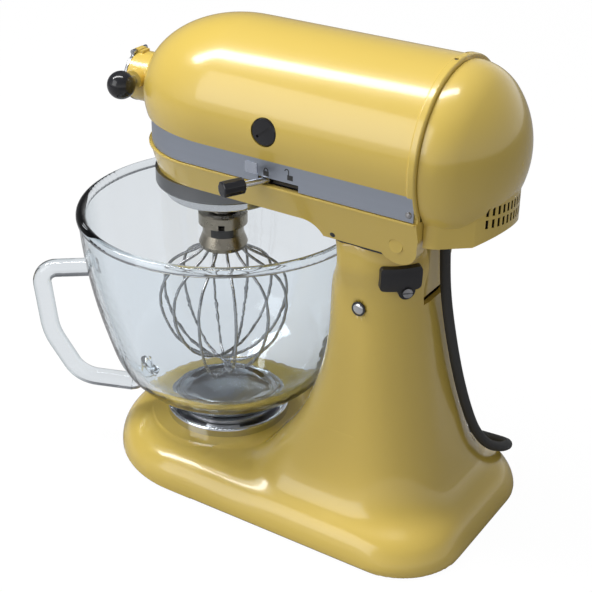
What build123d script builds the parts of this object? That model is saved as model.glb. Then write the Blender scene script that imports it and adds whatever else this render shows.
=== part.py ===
"""Tilt-head stand mixer, millimetres, +Z up, front (attachment hub) towards -Y.

The pieces are drawn about the bowl axis (x = 0, y = 0, table at z = 0) and moved together by
FRAME_Y when they are written, so that the origin is under the middle of the mixer.
"""
from build123d import *
from math import acos, asin, atan2, cos, degrees, pi, radians, sin, sqrt, tan
import os

# Head: round motor housing lying along Y, with an elliptic nose and a domed end cover
HEAD_Z = 291.5
HEAD_R = 60.5
HEAD_WALL = 3.0
NOSE_Y = 25.0
NOSE_LENGTH = 85.0
REAR_SEAM_Y = 188.0
RIM_LENGTH = 6.0
RIM_RISE = 1.6
COVER_R = 58.8
COVER_LENGTH = 44.5
COVER_WALL = 2.5
SPIGOT_LENGTH = 6.0
PARTING_Z = 258.0
BAND_HALF_WIDTH = 55.5
BAND_FRONT = 52.0
BAND_PLAN_Y = 8.0
BAND_REAR_Y = 185.5
BAND_HEIGHT = 18.3
BAND_THICK = 1.4
BAND_GAP = 0.1
SKIRT_HALF_WIDTH = 46.0
SKIRT_SIDE_Y = 195.0
SKIRT_CORNER = (30.0, 217.0)
SKIRT_REAR_Y = 229.5
# y, z along the bottom edge, which turns up towards the rear
SKIRT_BOTTOM = ((183.0, 238.5), (216.0, 240.0), (232.0, 249.0))
SKIRT_TOP_Z = 254.0
COVER_SCREW_ANGLES = (-7.0, 7.0)
COVER_SCREW_R = 1.6
TRIM_SCREW_Y = 182.0
TRIM_SCREW_Z = 263.5
TRIM_SCREW_R = 1.3
TRIM_SCREW_HEAD_R = 2.4
VENT_COUNT = 13
VENT_PITCH = 4.0
VENT_WIDTH = 2.0
VENT_HEIGHT = 6.0
VENT_ROWS_Z = (255.3, 263.7)

# Lower gear case: arm over the bowl, neck with two cheeks that ride on the hinge pin
CASE_HALF_WIDTH = 56.0
CASE_FRONT = 54.5
CASE_FOOT_HALF_WIDTH = 47.0
CASE_FOOT_FRONT = 47.5
CASE_WALL = 4.0
ARM_Z = 238.0
NECK_Z = 228.0
NECK_FRONT_Y = 116.0
NECK_FLOOR_Z = 247.0
NECK_FLOOR_THICK = 3.5
CASE_REAR_Y = 187.8
CASE_SCREWS = ((44.0, 20.0, 238.0), (43.0, 150.0, 228.0))
CASE_SCREW_R = 2.0
CASE_SCREW_TOP_Z = 268.0
ARCH_R = 17.0
CHEEK_INNER = 38.4
BOSS_R = 9.0
KNUCKLE_R = 15.0
TONGUE_HALF_WIDTH = 14.0
TONGUE_THICK = 4.4
TONGUE_Z = 184.0
TONGUE_BOSS_R = 8.6

# Tilt hinge
HINGE_Y = 171.0
HINGE_Z = 237.0
PIN_R = 5.0
RUN_CLEAR = 0.05
EAR_INNER = 17.0
EAR_OUTER = 26.0
EAR_R = 9.0
SIDE_CLEAR = 0.4
PIN_HALF = 50.0
KNUCKLE_GAP = 0.6

# Pedestal: foot and column, one hollow casting
BASE_GAP = 1.0
BASE_TOP_Z = 28.0
BASE_HALF_WIDTH = 90.0
BASE_FRONT_Y = 5.5
BASE_REAR_Y = 229.5
BASE_CORNER_R = 50.0
BASE_TOP_ROUND = 24.0
BASE_FOOT_ROUND = 2.0
CAST_WALL = 4.0
COLUMN_TOP_Z = 227.0
COLUMN_REAR_Y = 175.0
TOP_PLATE_REAR_Y = 143.0
# z, half width, front y, rear y, front corner radius, rear corner radius
COLUMN_SECTIONS = (
    (20.0, 86.0, 45.0, 225.5, 46.0, 48.0),
    (24.5, 79.5, 48.5, 219.0, 44.0, 48.0),
    (27.5, 74.5, 52.0, 214.0, 43.0, 48.0),
    (31.5, 70.5, 57.0, 210.0, 41.0, 48.0),
    (38.0, 67.0, 62.5, 206.0, 39.5, 48.0),
    (48.0, 63.5, 69.0, 202.5, 38.0, 47.5),
    (70.0, 58.0, 85.5, 197.0, 32.0, 46.0),
    (95.0, 53.5, 98.5, 191.5, 27.0, 43.5),
    (125.0, 49.5, 108.0, 186.0, 22.0, 41.0),
    (160.0, 45.5, 112.0, 181.0, 19.0, 38.0),
    (195.0, 43.5, 113.5, 177.5, 17.0, 36.0),
    (COLUMN_TOP_Z, 43.0, 114.0, COLUMN_REAR_Y, 16.0, 36.0),
)
SLOT_Z = 180.0
LAND_R = 60.0
LAND_RISE = 1.5
FOOT_R = 11.0
FOOT_SEAT = 1.5
FOOT_POST = 75.0
FOOT_PLACES = ((0, -66), (66, 10), (-66, 10), (58, 196), (-58, 196))
NECK_SCREW_Y = 130.0
NECK_SCREW_R = 3.5
HEAD_REST = 0.3
KEEPER = (32.0, 131.0)
KEEPER_TOP_Z = 257.0
PLUG_X = 40.5
PLUG_Y = 142.0
PLUG_Z = 179.4
PLUG_R = 4.6
PLUG_PROUD = 3.0
TERMINAL_CENTRE = (7.6, 143.0)
TERMINAL_ANGLE = 42.5
TERMINAL_HALF = 14.4
TERMINAL_R = 36.4
TERMINAL_Z = (198.0, 215.5)
TAB_DROP = 1.0
TERMINAL_PROUD = 5.0
TAB_OFFSET = 4.2
TAB_SCREW_R = 3.4

# Bowl clamp, a three-tab bayonet
CLAMP_R = 48.5
CLAMP_BORE_R = 44.5
CLAMP_FLOOR = 2.0
CLAMP_HEIGHT = 7.0
TAB_R = 42.4
TAB_HEIGHT = 2.0
TAB_SPAN = 34.0
LUG_R = 43.9
LUG_SPAN = 30.0
LUG_HEIGHT = 2.0
CLAMP_SCREW_PCD_R = 32.0
CLAMP_SCREW_R = 2.1
BAYONET_ANGLES = (30, 150, 270)

# Glass bowl
BOWL_RIM_R = 109.0
BOWL_RIM_Z = 205.0
BOWL_BEAD_R = 3.8
BOWL_WALL = 4.6
BOWL_FOOT_R = 38.2
BOWL_FLOOR = 11.0
BOWL_CUP_R = 41.5
BOWL_CUP_FLOOR = 2.0
BOWL_CUP_HEIGHT = 8.0
HANDLE_ANGLE = -57.2
HANDLE_R = 7.0
HANDLE_POINTS = ((100, 152), (142.5, 150), (137.5, 96), (117, 56), (76, 50))
HANDLE_BENDS = (12, 50, 26)

# Planetary drive
CARRIER_R = 44.0
CARRIER_Z = 217.0
CARRIER_HEIGHT = 9.0
DRIP_R = 50.6
DRIP_BORE_R = 44.8
DRIP_Z = 226.0
GEAR_MODULE = 1.5
RING_TEETH = 48
PLANET_TEETH = 16
RING_OUTER_R = 44.4
PLANET_ANGLE = 31.7
CENTRE_SHAFT_R = 8.0
BUSH_R = 11.0
BEATER_R = 6.35
BEATER_END_Z = 186.5
DRIVE_PIN_R = 2.0
DRIVE_PIN_Z = 203.0
BACKLASH = 0.3

# Worm drive from the motor, and the bevel drive to the attachment hub
CENTRE_TEETH = 36
PINION_TEETH = 12
WORM_WHEEL_TEETH = 24
WORM_PITCH_R = 8.0
WHEEL_PITCH_R = 18.0
WHEEL_HEIGHT = 9.0
WORM_LENGTH = 27.0
ARMATURE_R = 5.0
WHEEL_SHAFT_R = 4.0
CENTRE_GEAR_Z = 257.6
CENTRE_GEAR_HEIGHT = 8.4
BUSH_TOP_Z = 256.5
RING_Z = 227.5
PINION_BORE_R = 5.0
PIN_REACH = 9.5
WHEEL_SHAFT_Z = 243.0
TOP_BUSH_Z = (299.5, 306.0)
WORM_ROOT_R = 6.2
WORM_TIP_R = 9.2
WORM_LEAD = atan2(GEAR_MODULE, 2 * WORM_PITCH_R)
BEVEL_STEM_R = 20.0
BEVEL_MODULE = 2.0
BEVEL_CENTRE_TEETH = 26
BEVEL_HUB_TEETH = 13
BEVEL_FACE = 6.0
BEVEL_BACKLASH = 0.8
BEVEL_ADDENDUM = 1.3
BEVEL_DEDENDUM = 1.9

# Attachment hub
HUB_Z = 291.2
HUB_R = 18.5
HUB_BORE_R = 13.2
HUB_FRONT_Y = -74.0
HUB_FLOOR_Y = -46.0
HUB_BACK_Y = -34.0
HUB_SHAFT_R = 8.0
HUB_SOCKET = 9.5
HUB_COVER_THICK = 2.6
HUB_PIN_R = 0.9
HUB_EAR_R = 2.0
HUB_LUG_HALF = 4.0
HUB_PIN = (-75.6, 310.3)
HUB_NOTCH_R = 2.7
KNOB_X = 36.0
KNOB_FLAT = 0.8
KNOB_SINK = 3.0
KNOB_Y = -64.0
KNOB_Z = 295.5
KNOB_R = 10.2
KNOB_SCREW_R = 3.5

# Motor
COMMUTATOR_R = 13.0
BRUSH_Y = 75.0
BRUSH_Z = 297.0
BRUSH_R = 4.6
BRUSH_HOLDER_R = 6.5
BRUSH_CAP_R = 9.6
BRUSH_BOSS_R = 12.6
BRUSH_SEAT_X = 56.8
BRUSH_SLOT_TURN = 35.0
FIELD_EAR_X = 56.3
CORE_R = 24.0
CORE_Y = (92.0, 138.0)
FIELD_R = 40.0
FIELD_BORE_R = 25.2
FAN_R = 34.0
FRONT_BRACKET_Y = (46.5, 53.0)
REAR_BRACKET_Y = (164.0, 170.0)
SHAFT_REAR_Y = 176.0

# Levers in the trim band
LEVER_ROD_R = 2.2
LEVER_Z = 260.9
LEVER_BAR_X = (44.0, 50.7)
LEVER_BAR_HEIGHT = 6.0
LOCK_ROOT = (46.0, 76.6)
LOCK_TIP = (68.0, 65.9)
LOCK_BAR_Y = (66.0, 120.0)
LOCK_TRAVEL = 16.0
LOCK_SLOT_Y = (67.5, 99.5)
SPEED_Y = 62.0
SPEED_BAR_Y = (58.0, 102.0)
SPEED_TRAVEL = 40.0
SPEED_SLOT_Y = (57.5, 106.5)
LEVER_OUT = 66.0
LEVER_KNOB_LENGTH = 20.0
LEVER_KNOB_R = 7.5
LEVER_SLOT_TOP = 2.7

# Wire whip
WHIP_LOOPS = 6
WHIP_TURN = 15.0
WIRE_R = 1.1
WHIP_R = 52.5
WHIP_BOTTOM_Z = 77.0
WHIP_STEP = 2.7
WHIP_SHRINK = 0.9
FERRULE_TOP_Z = 212.0
FERRULE_Z = 184.0
FERRULE_R = 18.0
FERRULE_NECK_R = 15.0
WIRE_SINK = 3.0
WIRE_ROOT_R = 12.5
WHIP_WAIST_Z = 147.0

# Mains cord
CORD_R = 3.75
GLAND_Y = 182.4
GLAND_Z = (246.9, 220.0)
GLAND_R = (5.8, 5.1)
GLAND_BORE_R = 4.1
GLAND_NECK_R = 3.9
CORD_ROUTE = (
    (0, 182.4, 224), (-0.5, 182.9, 204), (-2.5, 184.8, 178), (-6, 189, 148), (-11, 193.3, 119),
    (-18.5, 198, 90), (-28.5, 202.5, 64), (-41.5, 207.5, 45.5), (-57, 211.5, 35), (-73.5, 212, 27.5),
    (-88.5, 205.5, 19), (-99.5, 192.5, 11), (-105, 174.5, 6), (-106, 153.5, 4.75), (-105, 129, 4.75),
    (-102.5, 100.5, 4.75), (-101, 72, 4.75),
)
COIL_R = 46.0
COIL_GAP = 0.7
COIL_QUARTERS = 13
COIL_LIFT = 1.0
COIL_RUN = 24.0
COIL_END = (-206.0, 26.0, 11.5)
TIE_WALL = 0.8
TIE_GAP = 0.2
TIE_LENGTH = 6.0
PLUG_BODY = (28.0, 34.0, 23.0)
PRONG_SIZE = (1.6, 17.0, 6.4)
PRONG_OUT = 6.4
PRONG_SINK = 7.0

EAST = (1, 0, 0)
BOTTOM = (Align.CENTER, Align.CENTER, Align.MIN)
GEAR_ANGLE = 20.0
CENTRE_DISTANCE = GEAR_MODULE * (CENTRE_TEETH + PINION_TEETH) / 2
WORM_DISTANCE = WORM_PITCH_R + WHEEL_PITCH_R
WHEEL_X = WORM_DISTANCE
WHEEL_Y = sqrt(CENTRE_DISTANCE ** 2 - WHEEL_X ** 2)
PLANET_OFFSET = GEAR_MODULE * (RING_TEETH - PLANET_TEETH) / 2
PLANET_X = PLANET_OFFSET * cos(radians(PLANET_ANGLE))
PLANET_Y = PLANET_OFFSET * sin(radians(PLANET_ANGLE))
LAND_Z = BASE_TOP_Z + LAND_RISE
BOWL_BASE_Z = LAND_Z + CLAMP_FLOOR + 0.3
CLAMP_SCREWS = [(CLAMP_SCREW_PCD_R * cos(radians(a)), CLAMP_SCREW_PCD_R * sin(radians(a)))
                for a in (90, 210, 330)]
BAND_Z = PARTING_Z + 0.7
BAND_TOP_Z = BAND_Z + BAND_HEIGHT
FRAME_Y = -53.5


def block(low, high):
    """Box between two corners."""
    size = [b - a for a, b in zip(low, high)]
    centre = [(a + b) / 2 for a, b in zip(low, high)]
    return Pos(*centre) * Box(*size)


def rod(start, end, radius):
    """Straight round bar between two points."""
    along = Vector(*end) - Vector(*start)
    return Plane(origin=start, z_dir=along) * Cylinder(radius, along.length, align=BOTTOM)


def turned(points, start=(0, 0, 0), along=(0, 0, 1)):
    """Solid of revolution from (radius, height) points, about a line through start."""
    outline = make_face(Polyline(*points, close=True))
    solid = revolve(Plane.XZ * outline, Axis.Z)
    return Plane(origin=start, z_dir=along) * solid


def both_sides(solid):
    """The solid and its mirror image across the middle plane."""
    return [solid, mirror(solid, Plane.YZ)]


def bundle(solids):
    """Several separate solids as one node."""
    return Compound([s for solid in solids for s in solid.solids()])


def side_profile(lines, half_width):
    """Closed outline in Y and Z, given depth to both sides in X."""
    return extrude(Plane.YZ * make_face(lines), half_width, both=True)


def head_plan(half_width, front, rear_y):
    """Outline of the head seen from above: half-ellipse nose and straight sides."""
    nose = EllipticalCenterArc((0, BAND_PLAN_Y), half_width, BAND_PLAN_Y + front, 180, arc_size=180)
    sides = Polyline((half_width, BAND_PLAN_Y), (half_width, rear_y), (-half_width, rear_y),
                     (-half_width, BAND_PLAN_Y))
    return make_face(nose + sides)


def head_turned(edges):
    """Solid of revolution about the motor axis, from lines in (y, distance from the axis)."""
    plane = Plane(origin=(0, 0, HEAD_Z), x_dir=(0, 1, 0), z_dir=(-1, 0, 0))
    return revolve(plane * make_face(edges), Axis((0, 0, HEAD_Z), (0, 1, 0)))


def bullet(radius, nose, rear_y):
    """Round body with an elliptic nose."""
    arc = EllipticalCenterArc((NOSE_Y, 0), nose, radius, 90, arc_size=90)
    rest = Polyline((NOSE_Y - nose, 0), (rear_y, 0), (rear_y, radius), (NOSE_Y, radius))
    return head_turned(arc + rest)


def dome(radius, length, front_y):
    """Domed rear of the head: a rim arc that runs into a flatter arc on the motor axis."""
    rim_r = length ** 2 / radius
    side = radius - rim_r
    back = length - rim_r
    shift = (side ** 2 - back ** 2) / (2 * back)
    crown_r = length + shift
    span = sqrt(shift ** 2 + side ** 2)
    crown_y = front_y - shift
    join = (crown_y + crown_r * shift / span, crown_r * side / span)
    half = (pi / 2 + atan2(side, shift)) / 2
    rim_middle = (front_y + rim_r * cos(half), side + rim_r * sin(half))
    crown_half = atan2(side, shift) / 2
    crown_middle = (crown_y + crown_r * cos(crown_half), crown_r * sin(crown_half))
    lines = ThreePointArc((front_y, radius), rim_middle, join)
    lines += ThreePointArc(join, crown_middle, (front_y + length, 0))
    lines += Polyline((front_y + length, 0), (front_y, 0), (front_y, radius))
    return head_turned(lines)


def involute_points(teeth, module, tip, root, half_angle, steps=4):
    """Points of a toothed outline, one tooth centred on the X axis."""
    pitch_r = module * teeth / 2
    base_r = pitch_r * cos(radians(GEAR_ANGLE))

    def roll(radius):
        angle = acos(min(1.0, base_r / radius))
        return tan(angle) - angle

    radii = [root + (tip - root) * i / steps for i in range(steps + 1)]
    flank = [(r, half_angle + roll(pitch_r) - roll(max(r, base_r))) for r in radii]
    points = []
    for tooth in range(teeth):
        turn = 2 * pi * tooth / teeth
        around = [(r, turn - a) for r, a in flank] + [(r, turn + a) for r, a in reversed(flank)]
        points += [(r * cos(a), r * sin(a)) for r, a in around]
    return points


def spur_outline(teeth, module, turn):
    """External gear outline with backlash, a tooth pointing along turn degrees."""
    pitch_r = module * teeth / 2
    half_angle = pi / (2 * teeth) - BACKLASH / (2 * pitch_r)
    points = involute_points(teeth, module, pitch_r + 0.85 * module, pitch_r - 1.2 * module, half_angle)
    return Rot(0, 0, turn) * make_face(Polyline(*points, close=True))


def ring_space(teeth, module, turn):
    """Outline of the hole of an internal gear, a tooth space along turn degrees."""
    pitch_r = module * teeth / 2
    half_angle = pi / (2 * teeth) + BACKLASH / (2 * pitch_r)
    points = involute_points(teeth, module, pitch_r + 1.2 * module, pitch_r - 0.85 * module, half_angle)
    return Rot(0, 0, turn) * make_face(Polyline(*points, close=True))


def bevel_teeth(teeth, mate_teeth, turn):
    """Straight bevel teeth about +Z with the pitch cone's point at the origin, opening downwards."""
    pitch_r = BEVEL_MODULE * teeth / 2
    depth = BEVEL_MODULE * mate_teeth / 2
    length = sqrt(pitch_r ** 2 + depth ** 2)
    along = (pitch_r / length, -depth / length)
    out = (depth / length, pitch_r / length)
    inner = 1 - BEVEL_FACE / length
    slope = tan(radians(GEAR_ANGLE))
    width = (pi * BEVEL_MODULE - BEVEL_BACKLASH) / 2
    foot = BEVEL_DEDENDUM + 0.4

    def section(scale):
        corners = []
        for side, rise in ((-1, -foot), (1, -foot), (1, BEVEL_ADDENDUM), (-1, BEVEL_ADDENDUM)):
            half = width / 2 - rise * slope
            r = (length * along[0] + rise * out[0]) * scale
            z = (length * along[1] + rise * out[1]) * scale
            corners.append((r, side * half * scale, z))
        return make_face(Polyline(*corners, close=True))

    tooth = loft([section(1), section(inner)], ruled=True)
    root = -BEVEL_DEDENDUM
    rim = (length * along[0] + root * out[0], length * along[1] + root * out[1])
    neck = (rim[0] * inner, rim[1] * inner)
    body = turned([(0, rim[1]), rim, neck, (0, neck[1])])
    gear = body
    for i in range(teeth):
        gear += Rot(0, 0, turn + 360 * i / teeth) * tooth
    return gear, rim, neck


def biarc(start, tangent, end, end_tangent):
    """Two arcs that join two points and keep both directions."""
    gap = end - start
    both = tangent + end_tangent
    a = both.dot(both) - 4
    b = -2 * gap.dot(both)
    c = gap.dot(gap)
    if abs(a) < 1e-9:
        reach = -c / b
    else:
        root = sqrt(b * b - 4 * a * c)
        reach = min(r for r in ((-b - root) / (2 * a), (-b + root) / (2 * a)) if r > 0)
    first = start + tangent * reach
    second = end - end_tangent * reach
    middle = (first + second) * 0.5
    return [Edge.make_tangent_arc(start, tangent, middle),
            Edge.make_tangent_arc(middle, second - first, end)]


def tube(path, radius):
    """Round tube along a wire."""
    section = Plane(origin=path @ 0, z_dir=path % 0) * Circle(radius)
    return sweep(section, path=path)


# Pedestal

def base_plan(inset):
    """Outline of the foot: round front, straight sides, rounded rear corners."""
    half = BASE_HALF_WIDTH - inset
    rear = BASE_REAR_Y - inset
    corner = BASE_CORNER_R - inset
    bend = corner * (1 - sqrt(0.5))
    edges = ThreePointArc((-half, BASE_FRONT_Y), (0, BASE_FRONT_Y - half), (half, BASE_FRONT_Y))
    edges += Line((half, BASE_FRONT_Y), (half, rear - corner))
    edges += ThreePointArc((half, rear - corner), (half - bend, rear - bend), (half - corner, rear))
    edges += Line((half - corner, rear), (corner - half, rear))
    edges += ThreePointArc((corner - half, rear), (bend - half, rear - bend), (-half, rear - corner))
    edges += Line((-half, rear - corner), (-half, BASE_FRONT_Y))
    return make_face(edges)


def column_section(row, inset):
    """Rounded outline of the column at one height."""
    z, half, front, rear, front_r, rear_r = row
    half, front, rear = half - inset, front + inset, rear - inset
    front_r, rear_r = front_r - inset, rear_r - inset
    fb, rb = front_r * (1 - sqrt(0.5)), rear_r * (1 - sqrt(0.5))
    edges = Line((front_r - half, front), (half - front_r, front))
    edges += ThreePointArc((half - front_r, front), (half - fb, front + fb), (half, front + front_r))
    edges += Line((half, front + front_r), (half, rear - rear_r))
    edges += ThreePointArc((half, rear - rear_r), (half - rb, rear - rb), (half - rear_r, rear))
    edges += Line((half - rear_r, rear), (rear_r - half, rear))
    edges += ThreePointArc((rear_r - half, rear), (rb - half, rear - rb), (-half, rear - rear_r))
    edges += Line((-half, rear - rear_r), (-half, front + front_r))
    edges += ThreePointArc((-half, front + front_r), (fb - half, front + fb), (front_r - half, front))
    return Pos(0, 0, z) * make_face(edges)


def column(inset):
    return loft([column_section(row, inset) for row in COLUMN_SECTIONS])


def pedestal():
    foot = extrude(Pos(0, 0, BASE_GAP) * base_plan(0), BASE_TOP_Z - BASE_GAP)
    foot = fillet(foot.edges().group_by(Axis.Z)[-1], BASE_TOP_ROUND)
    foot = fillet(foot.edges().group_by(Axis.Z)[0], BASE_FOOT_ROUND)
    land = Pos(0, 0, BASE_GAP) * Cylinder(LAND_R, LAND_Z - BASE_GAP, align=BOTTOM)
    outside = column(0)
    outer = foot + outside + land
    cavity = extrude(base_plan(CAST_WALL + 2), BASE_TOP_Z - CAST_WALL)
    cavity = fillet(cavity.edges().group_by(Axis.Z)[-1], BASE_TOP_ROUND - CAST_WALL)
    cavity += extrude(column_section(COLUMN_SECTIONS[0], CAST_WALL), -COLUMN_SECTIONS[0][0])
    body = outer - cavity - column(CAST_WALL)
    top_plate = block((-60, 100, COLUMN_TOP_Z - CAST_WALL), (60, TOP_PLATE_REAR_Y, COLUMN_TOP_Z))
    body += top_plate & outside
    for low_x, high_x in ((EAR_INNER, EAR_OUTER), (-EAR_OUTER, -EAR_INNER)):
        web = block((low_x, HINGE_Y - 2 * EAR_R, SLOT_Z + 12), (high_x, HINGE_Y + EAR_R, COLUMN_TOP_Z))
        stem = block((low_x, HINGE_Y - EAR_R, SLOT_Z + 40), (high_x, HINGE_Y + EAR_R - 5, HINGE_Z))
        ear = rod((low_x, HINGE_Y, HINGE_Z), (high_x, HINGE_Y, HINGE_Z), EAR_R)
        body += (web & outside) + stem + ear
    slot_half = TONGUE_HALF_WIDTH + 1.5
    body -= block((-slot_half, COLUMN_REAR_Y - 9, SLOT_Z), (slot_half, COLUMN_REAR_Y + 12, COLUMN_TOP_Z + 1))
    scoop = rod((-60, HINGE_Y, HINGE_Z), (60, HINGE_Y, HINGE_Z), KNUCKLE_R + KNUCKLE_GAP)
    body -= scoop - block((-EAR_OUTER, 100, 200), (EAR_OUTER, 200, 260))
    body -= rod((-60, HINGE_Y, HINGE_Z), (60, HINGE_Y, HINGE_Z), PIN_R)
    for x, y in FOOT_PLACES:
        post = Pos(x, y, BASE_GAP) * Cylinder(FOOT_R + 2, FOOT_POST, align=BOTTOM)
        body += post & outer
        body -= Pos(x, y, 0) * Cylinder(FOOT_R, BASE_GAP + FOOT_SEAT, align=BOTTOM)
    body -= rod((0, NECK_SCREW_Y, COLUMN_TOP_Z - 30), (0, NECK_SCREW_Y, COLUMN_TOP_Z + 1), NECK_SCREW_R)
    for x, y in CLAMP_SCREWS:
        body -= rod((x, y, BASE_TOP_Z - 9), (x, y, LAND_Z + 1), CLAMP_SCREW_R)
    side_x = PLUG_X + 10
    body -= rod((PLUG_X, PLUG_Y, PLUG_Z), (side_x, PLUG_Y, PLUG_Z), PLUG_R)
    return body


def rubber_feet():
    return bundle([Pos(x, y, 0) * Cylinder(FOOT_R - 0.1, BASE_GAP + FOOT_SEAT, align=BOTTOM)
                   for x, y in FOOT_PLACES])


def clamp_sector(inner_r, outer_r, low_z, high_z, span, middle):
    """Part of a ring, span degrees wide."""
    ring = Cylinder(outer_r, high_z - low_z, align=BOTTOM) - Cylinder(inner_r, high_z - low_z, align=BOTTOM)
    reach = 2 * outer_r
    half = radians(span / 2)
    wedge = make_face(Polyline((0, 0), (reach * cos(half), -reach * sin(half)),
                               (reach * cos(half), reach * sin(half)), close=True))
    return Pos(0, 0, low_z) * (ring & Rot(0, 0, middle) * extrude(wedge, high_z - low_z))


def bowl_clamp_plate():
    floor_z = LAND_Z + CLAMP_FLOOR
    top_z = LAND_Z + CLAMP_HEIGHT
    edge = (CLAMP_R - CLAMP_BORE_R) / 2 - 0.05
    rim = Pos(0, 0, LAND_Z) * (Cylinder(CLAMP_R, CLAMP_HEIGHT, align=BOTTOM)
                               - Cylinder(CLAMP_BORE_R, CLAMP_HEIGHT, align=BOTTOM))
    rim = fillet(rim.edges().group_by(Axis.Z)[-1], edge)
    plate = rim + Pos(0, 0, LAND_Z) * Cylinder(CLAMP_BORE_R, CLAMP_FLOOR, align=BOTTOM)
    plate += [clamp_sector(TAB_R, CLAMP_BORE_R + 1, top_z - TAB_HEIGHT, top_z, TAB_SPAN, angle)
              for angle in BAYONET_ANGLES]
    shank, head = CLAMP_SCREW_R, 2 * CLAMP_SCREW_R + 0.1
    sink = [(0, LAND_Z - 1), (shank, LAND_Z - 1), (shank, LAND_Z), (head, floor_z), (head, floor_z + 1),
            (0, floor_z + 1)]
    for x, y in CLAMP_SCREWS:
        plate -= Pos(x, y, 0) * turned(sink)
    return plate


def clamp_plate_screws():
    top_z = LAND_Z + CLAMP_FLOOR
    shank = CLAMP_SCREW_R - 0.05
    low_z = BASE_TOP_Z - 8
    profile = [(0, low_z), (shank, low_z), (shank, LAND_Z), (2 * CLAMP_SCREW_R, top_z), (0, top_z)]
    return bundle([Pos(x, y, 0) * turned(profile) for x, y in CLAMP_SCREWS])


def hinge_pin():
    return rod((-PIN_HALF, HINGE_Y, HINGE_Z), (PIN_HALF, HINGE_Y, HINGE_Z), PIN_R - RUN_CLEAR)


def neck_adjusting_screw():
    top_z = NECK_FLOOR_Z - HEAD_REST
    shank = rod((0, NECK_SCREW_Y, COLUMN_TOP_Z - 12), (0, NECK_SCREW_Y, top_z - 4), NECK_SCREW_R - 0.05)
    head = rod((0, NECK_SCREW_Y, top_z - 6), (0, NECK_SCREW_Y, top_z), 7.0)
    collar = rod((0, NECK_SCREW_Y, COLUMN_TOP_Z), (0, NECK_SCREW_Y, COLUMN_TOP_Z + 4), 7.0)
    return shank + head + collar


def latch_keeper():
    x, y = KEEPER
    foot = block((x - 6, y - 6, COLUMN_TOP_Z), (x + 5, y + 6, COLUMN_TOP_Z + 3))
    post = block((x - 2, y - 3, COLUMN_TOP_Z + 3), (x + 2, y + 3, KEEPER_TOP_Z))
    return foot + post


def side_plug():
    return turned([(0, 0), (PLUG_R - 0.1, 0), (PLUG_R - 0.1, PLUG_PROUD), (0, PLUG_PROUD + 1.2)],
                  (PLUG_X, PLUG_Y, PLUG_Z), EAST)


def terminal_frame():
    """Plane on the column's rounded corner: its Z points out of the corner, its Y points up."""
    angle = radians(TERMINAL_ANGLE)
    out = (cos(angle), sin(angle), 0)
    return Plane(origin=(*TERMINAL_CENTRE, 0), x_dir=(-sin(angle), cos(angle), 0), z_dir=out)


def terminal_cover():
    """Moulded cover that follows the column's rounded corner, with a screw tab below."""
    low_z, high_z = TERMINAL_Z
    tab_z = low_z - TAB_DROP
    body = block((-TERMINAL_HALF, low_z, 0), (TERMINAL_HALF, high_z, 80))
    body = fillet(body.edges().filter_by(Axis.Z), 3.0)
    tab = block((TAB_OFFSET - 6, tab_z, 0), (TAB_OFFSET + 6, low_z + 4, 80))
    tab += Pos(TAB_OFFSET, tab_z, 0) * Cylinder(6, 80, align=BOTTOM)
    prism = terminal_frame() * (body + tab)
    skin = column(-TERMINAL_PROUD) - column(-0.15)
    cover = max((prism & skin).solids(), key=lambda solid: solid.volume)
    return cover - terminal_screw_seat() * Cylinder(TAB_SCREW_R + 0.2, 20, align=BOTTOM)


def terminal_screw_seat():
    out = TERMINAL_R + TERMINAL_PROUD - 1.6
    return terminal_frame() * Pos(TAB_OFFSET, TERMINAL_Z[0] - TAB_DROP, out)


def terminal_cover_screw():
    head = Cylinder(TAB_SCREW_R, 2.4, align=BOTTOM)
    head -= Pos(0, 0, 2.4) * Box(3 * TAB_SCREW_R, 0.9, 1.8)
    return terminal_screw_seat() * head


# Bowl

def bowl_outline():
    """Outer and inner curves of the glass wall, as (radius, height) points."""
    foot_z = BOWL_BASE_Z + BOWL_CUP_FLOOR + 0.2
    outer = [(BOWL_FOOT_R, foot_z + 7), (51.5, 50), (68, 62), (82.5, 78), (91, 100), (99, 130), (105.5, 165),
             (BOWL_RIM_R, BOWL_RIM_Z - 4)]
    inner = [(30, foot_z + BOWL_FLOOR), (47, 54), (63, 65.7), (77.2, 80.6), (85.8, 101.5),
             (94, 131), (100.8, 165.5), (BOWL_RIM_R - BOWL_WALL, BOWL_RIM_Z - 4)]
    return outer, inner, foot_z


def bowl_handle():
    angle = radians(HANDLE_ANGLE)
    plane = Plane(origin=(0, 0, 0), x_dir=(cos(angle), sin(angle), 0), z_dir=(sin(angle), -cos(angle), 0))
    path = FilletPolyline(*HANDLE_POINTS, radius=HANDLE_BENDS)
    wire = plane * path
    section = Plane(origin=wire @ 0, z_dir=wire % 0) * Ellipse(HANDLE_R, HANDLE_R)
    return sweep(section, path=wire)


def glass_bowl():
    outer, inner, foot_z = bowl_outline()
    rim_z = outer[-1][1]
    outside = Polyline((0, rim_z), (0, foot_z), (BOWL_FOOT_R, foot_z), outer[0]) + Spline(*outer)
    outside += Line(outer[-1], (0, rim_z))
    inside = Polyline((0, rim_z + 1), (0, inner[0][1]), inner[0]) + Spline(*inner)
    inside += Polyline(inner[-1], (inner[-1][0], rim_z + 1), (0, rim_z + 1))
    full = revolve(Plane.XZ * make_face(outside), Axis.Z)
    hollow = revolve(Plane.XZ * make_face(inside), Axis.Z)
    bowl = full + bowl_handle() - hollow
    return bowl + Pos(0, 0, rim_z + 1) * Torus(BOWL_RIM_R - BOWL_WALL / 2, BOWL_BEAD_R)


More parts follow.
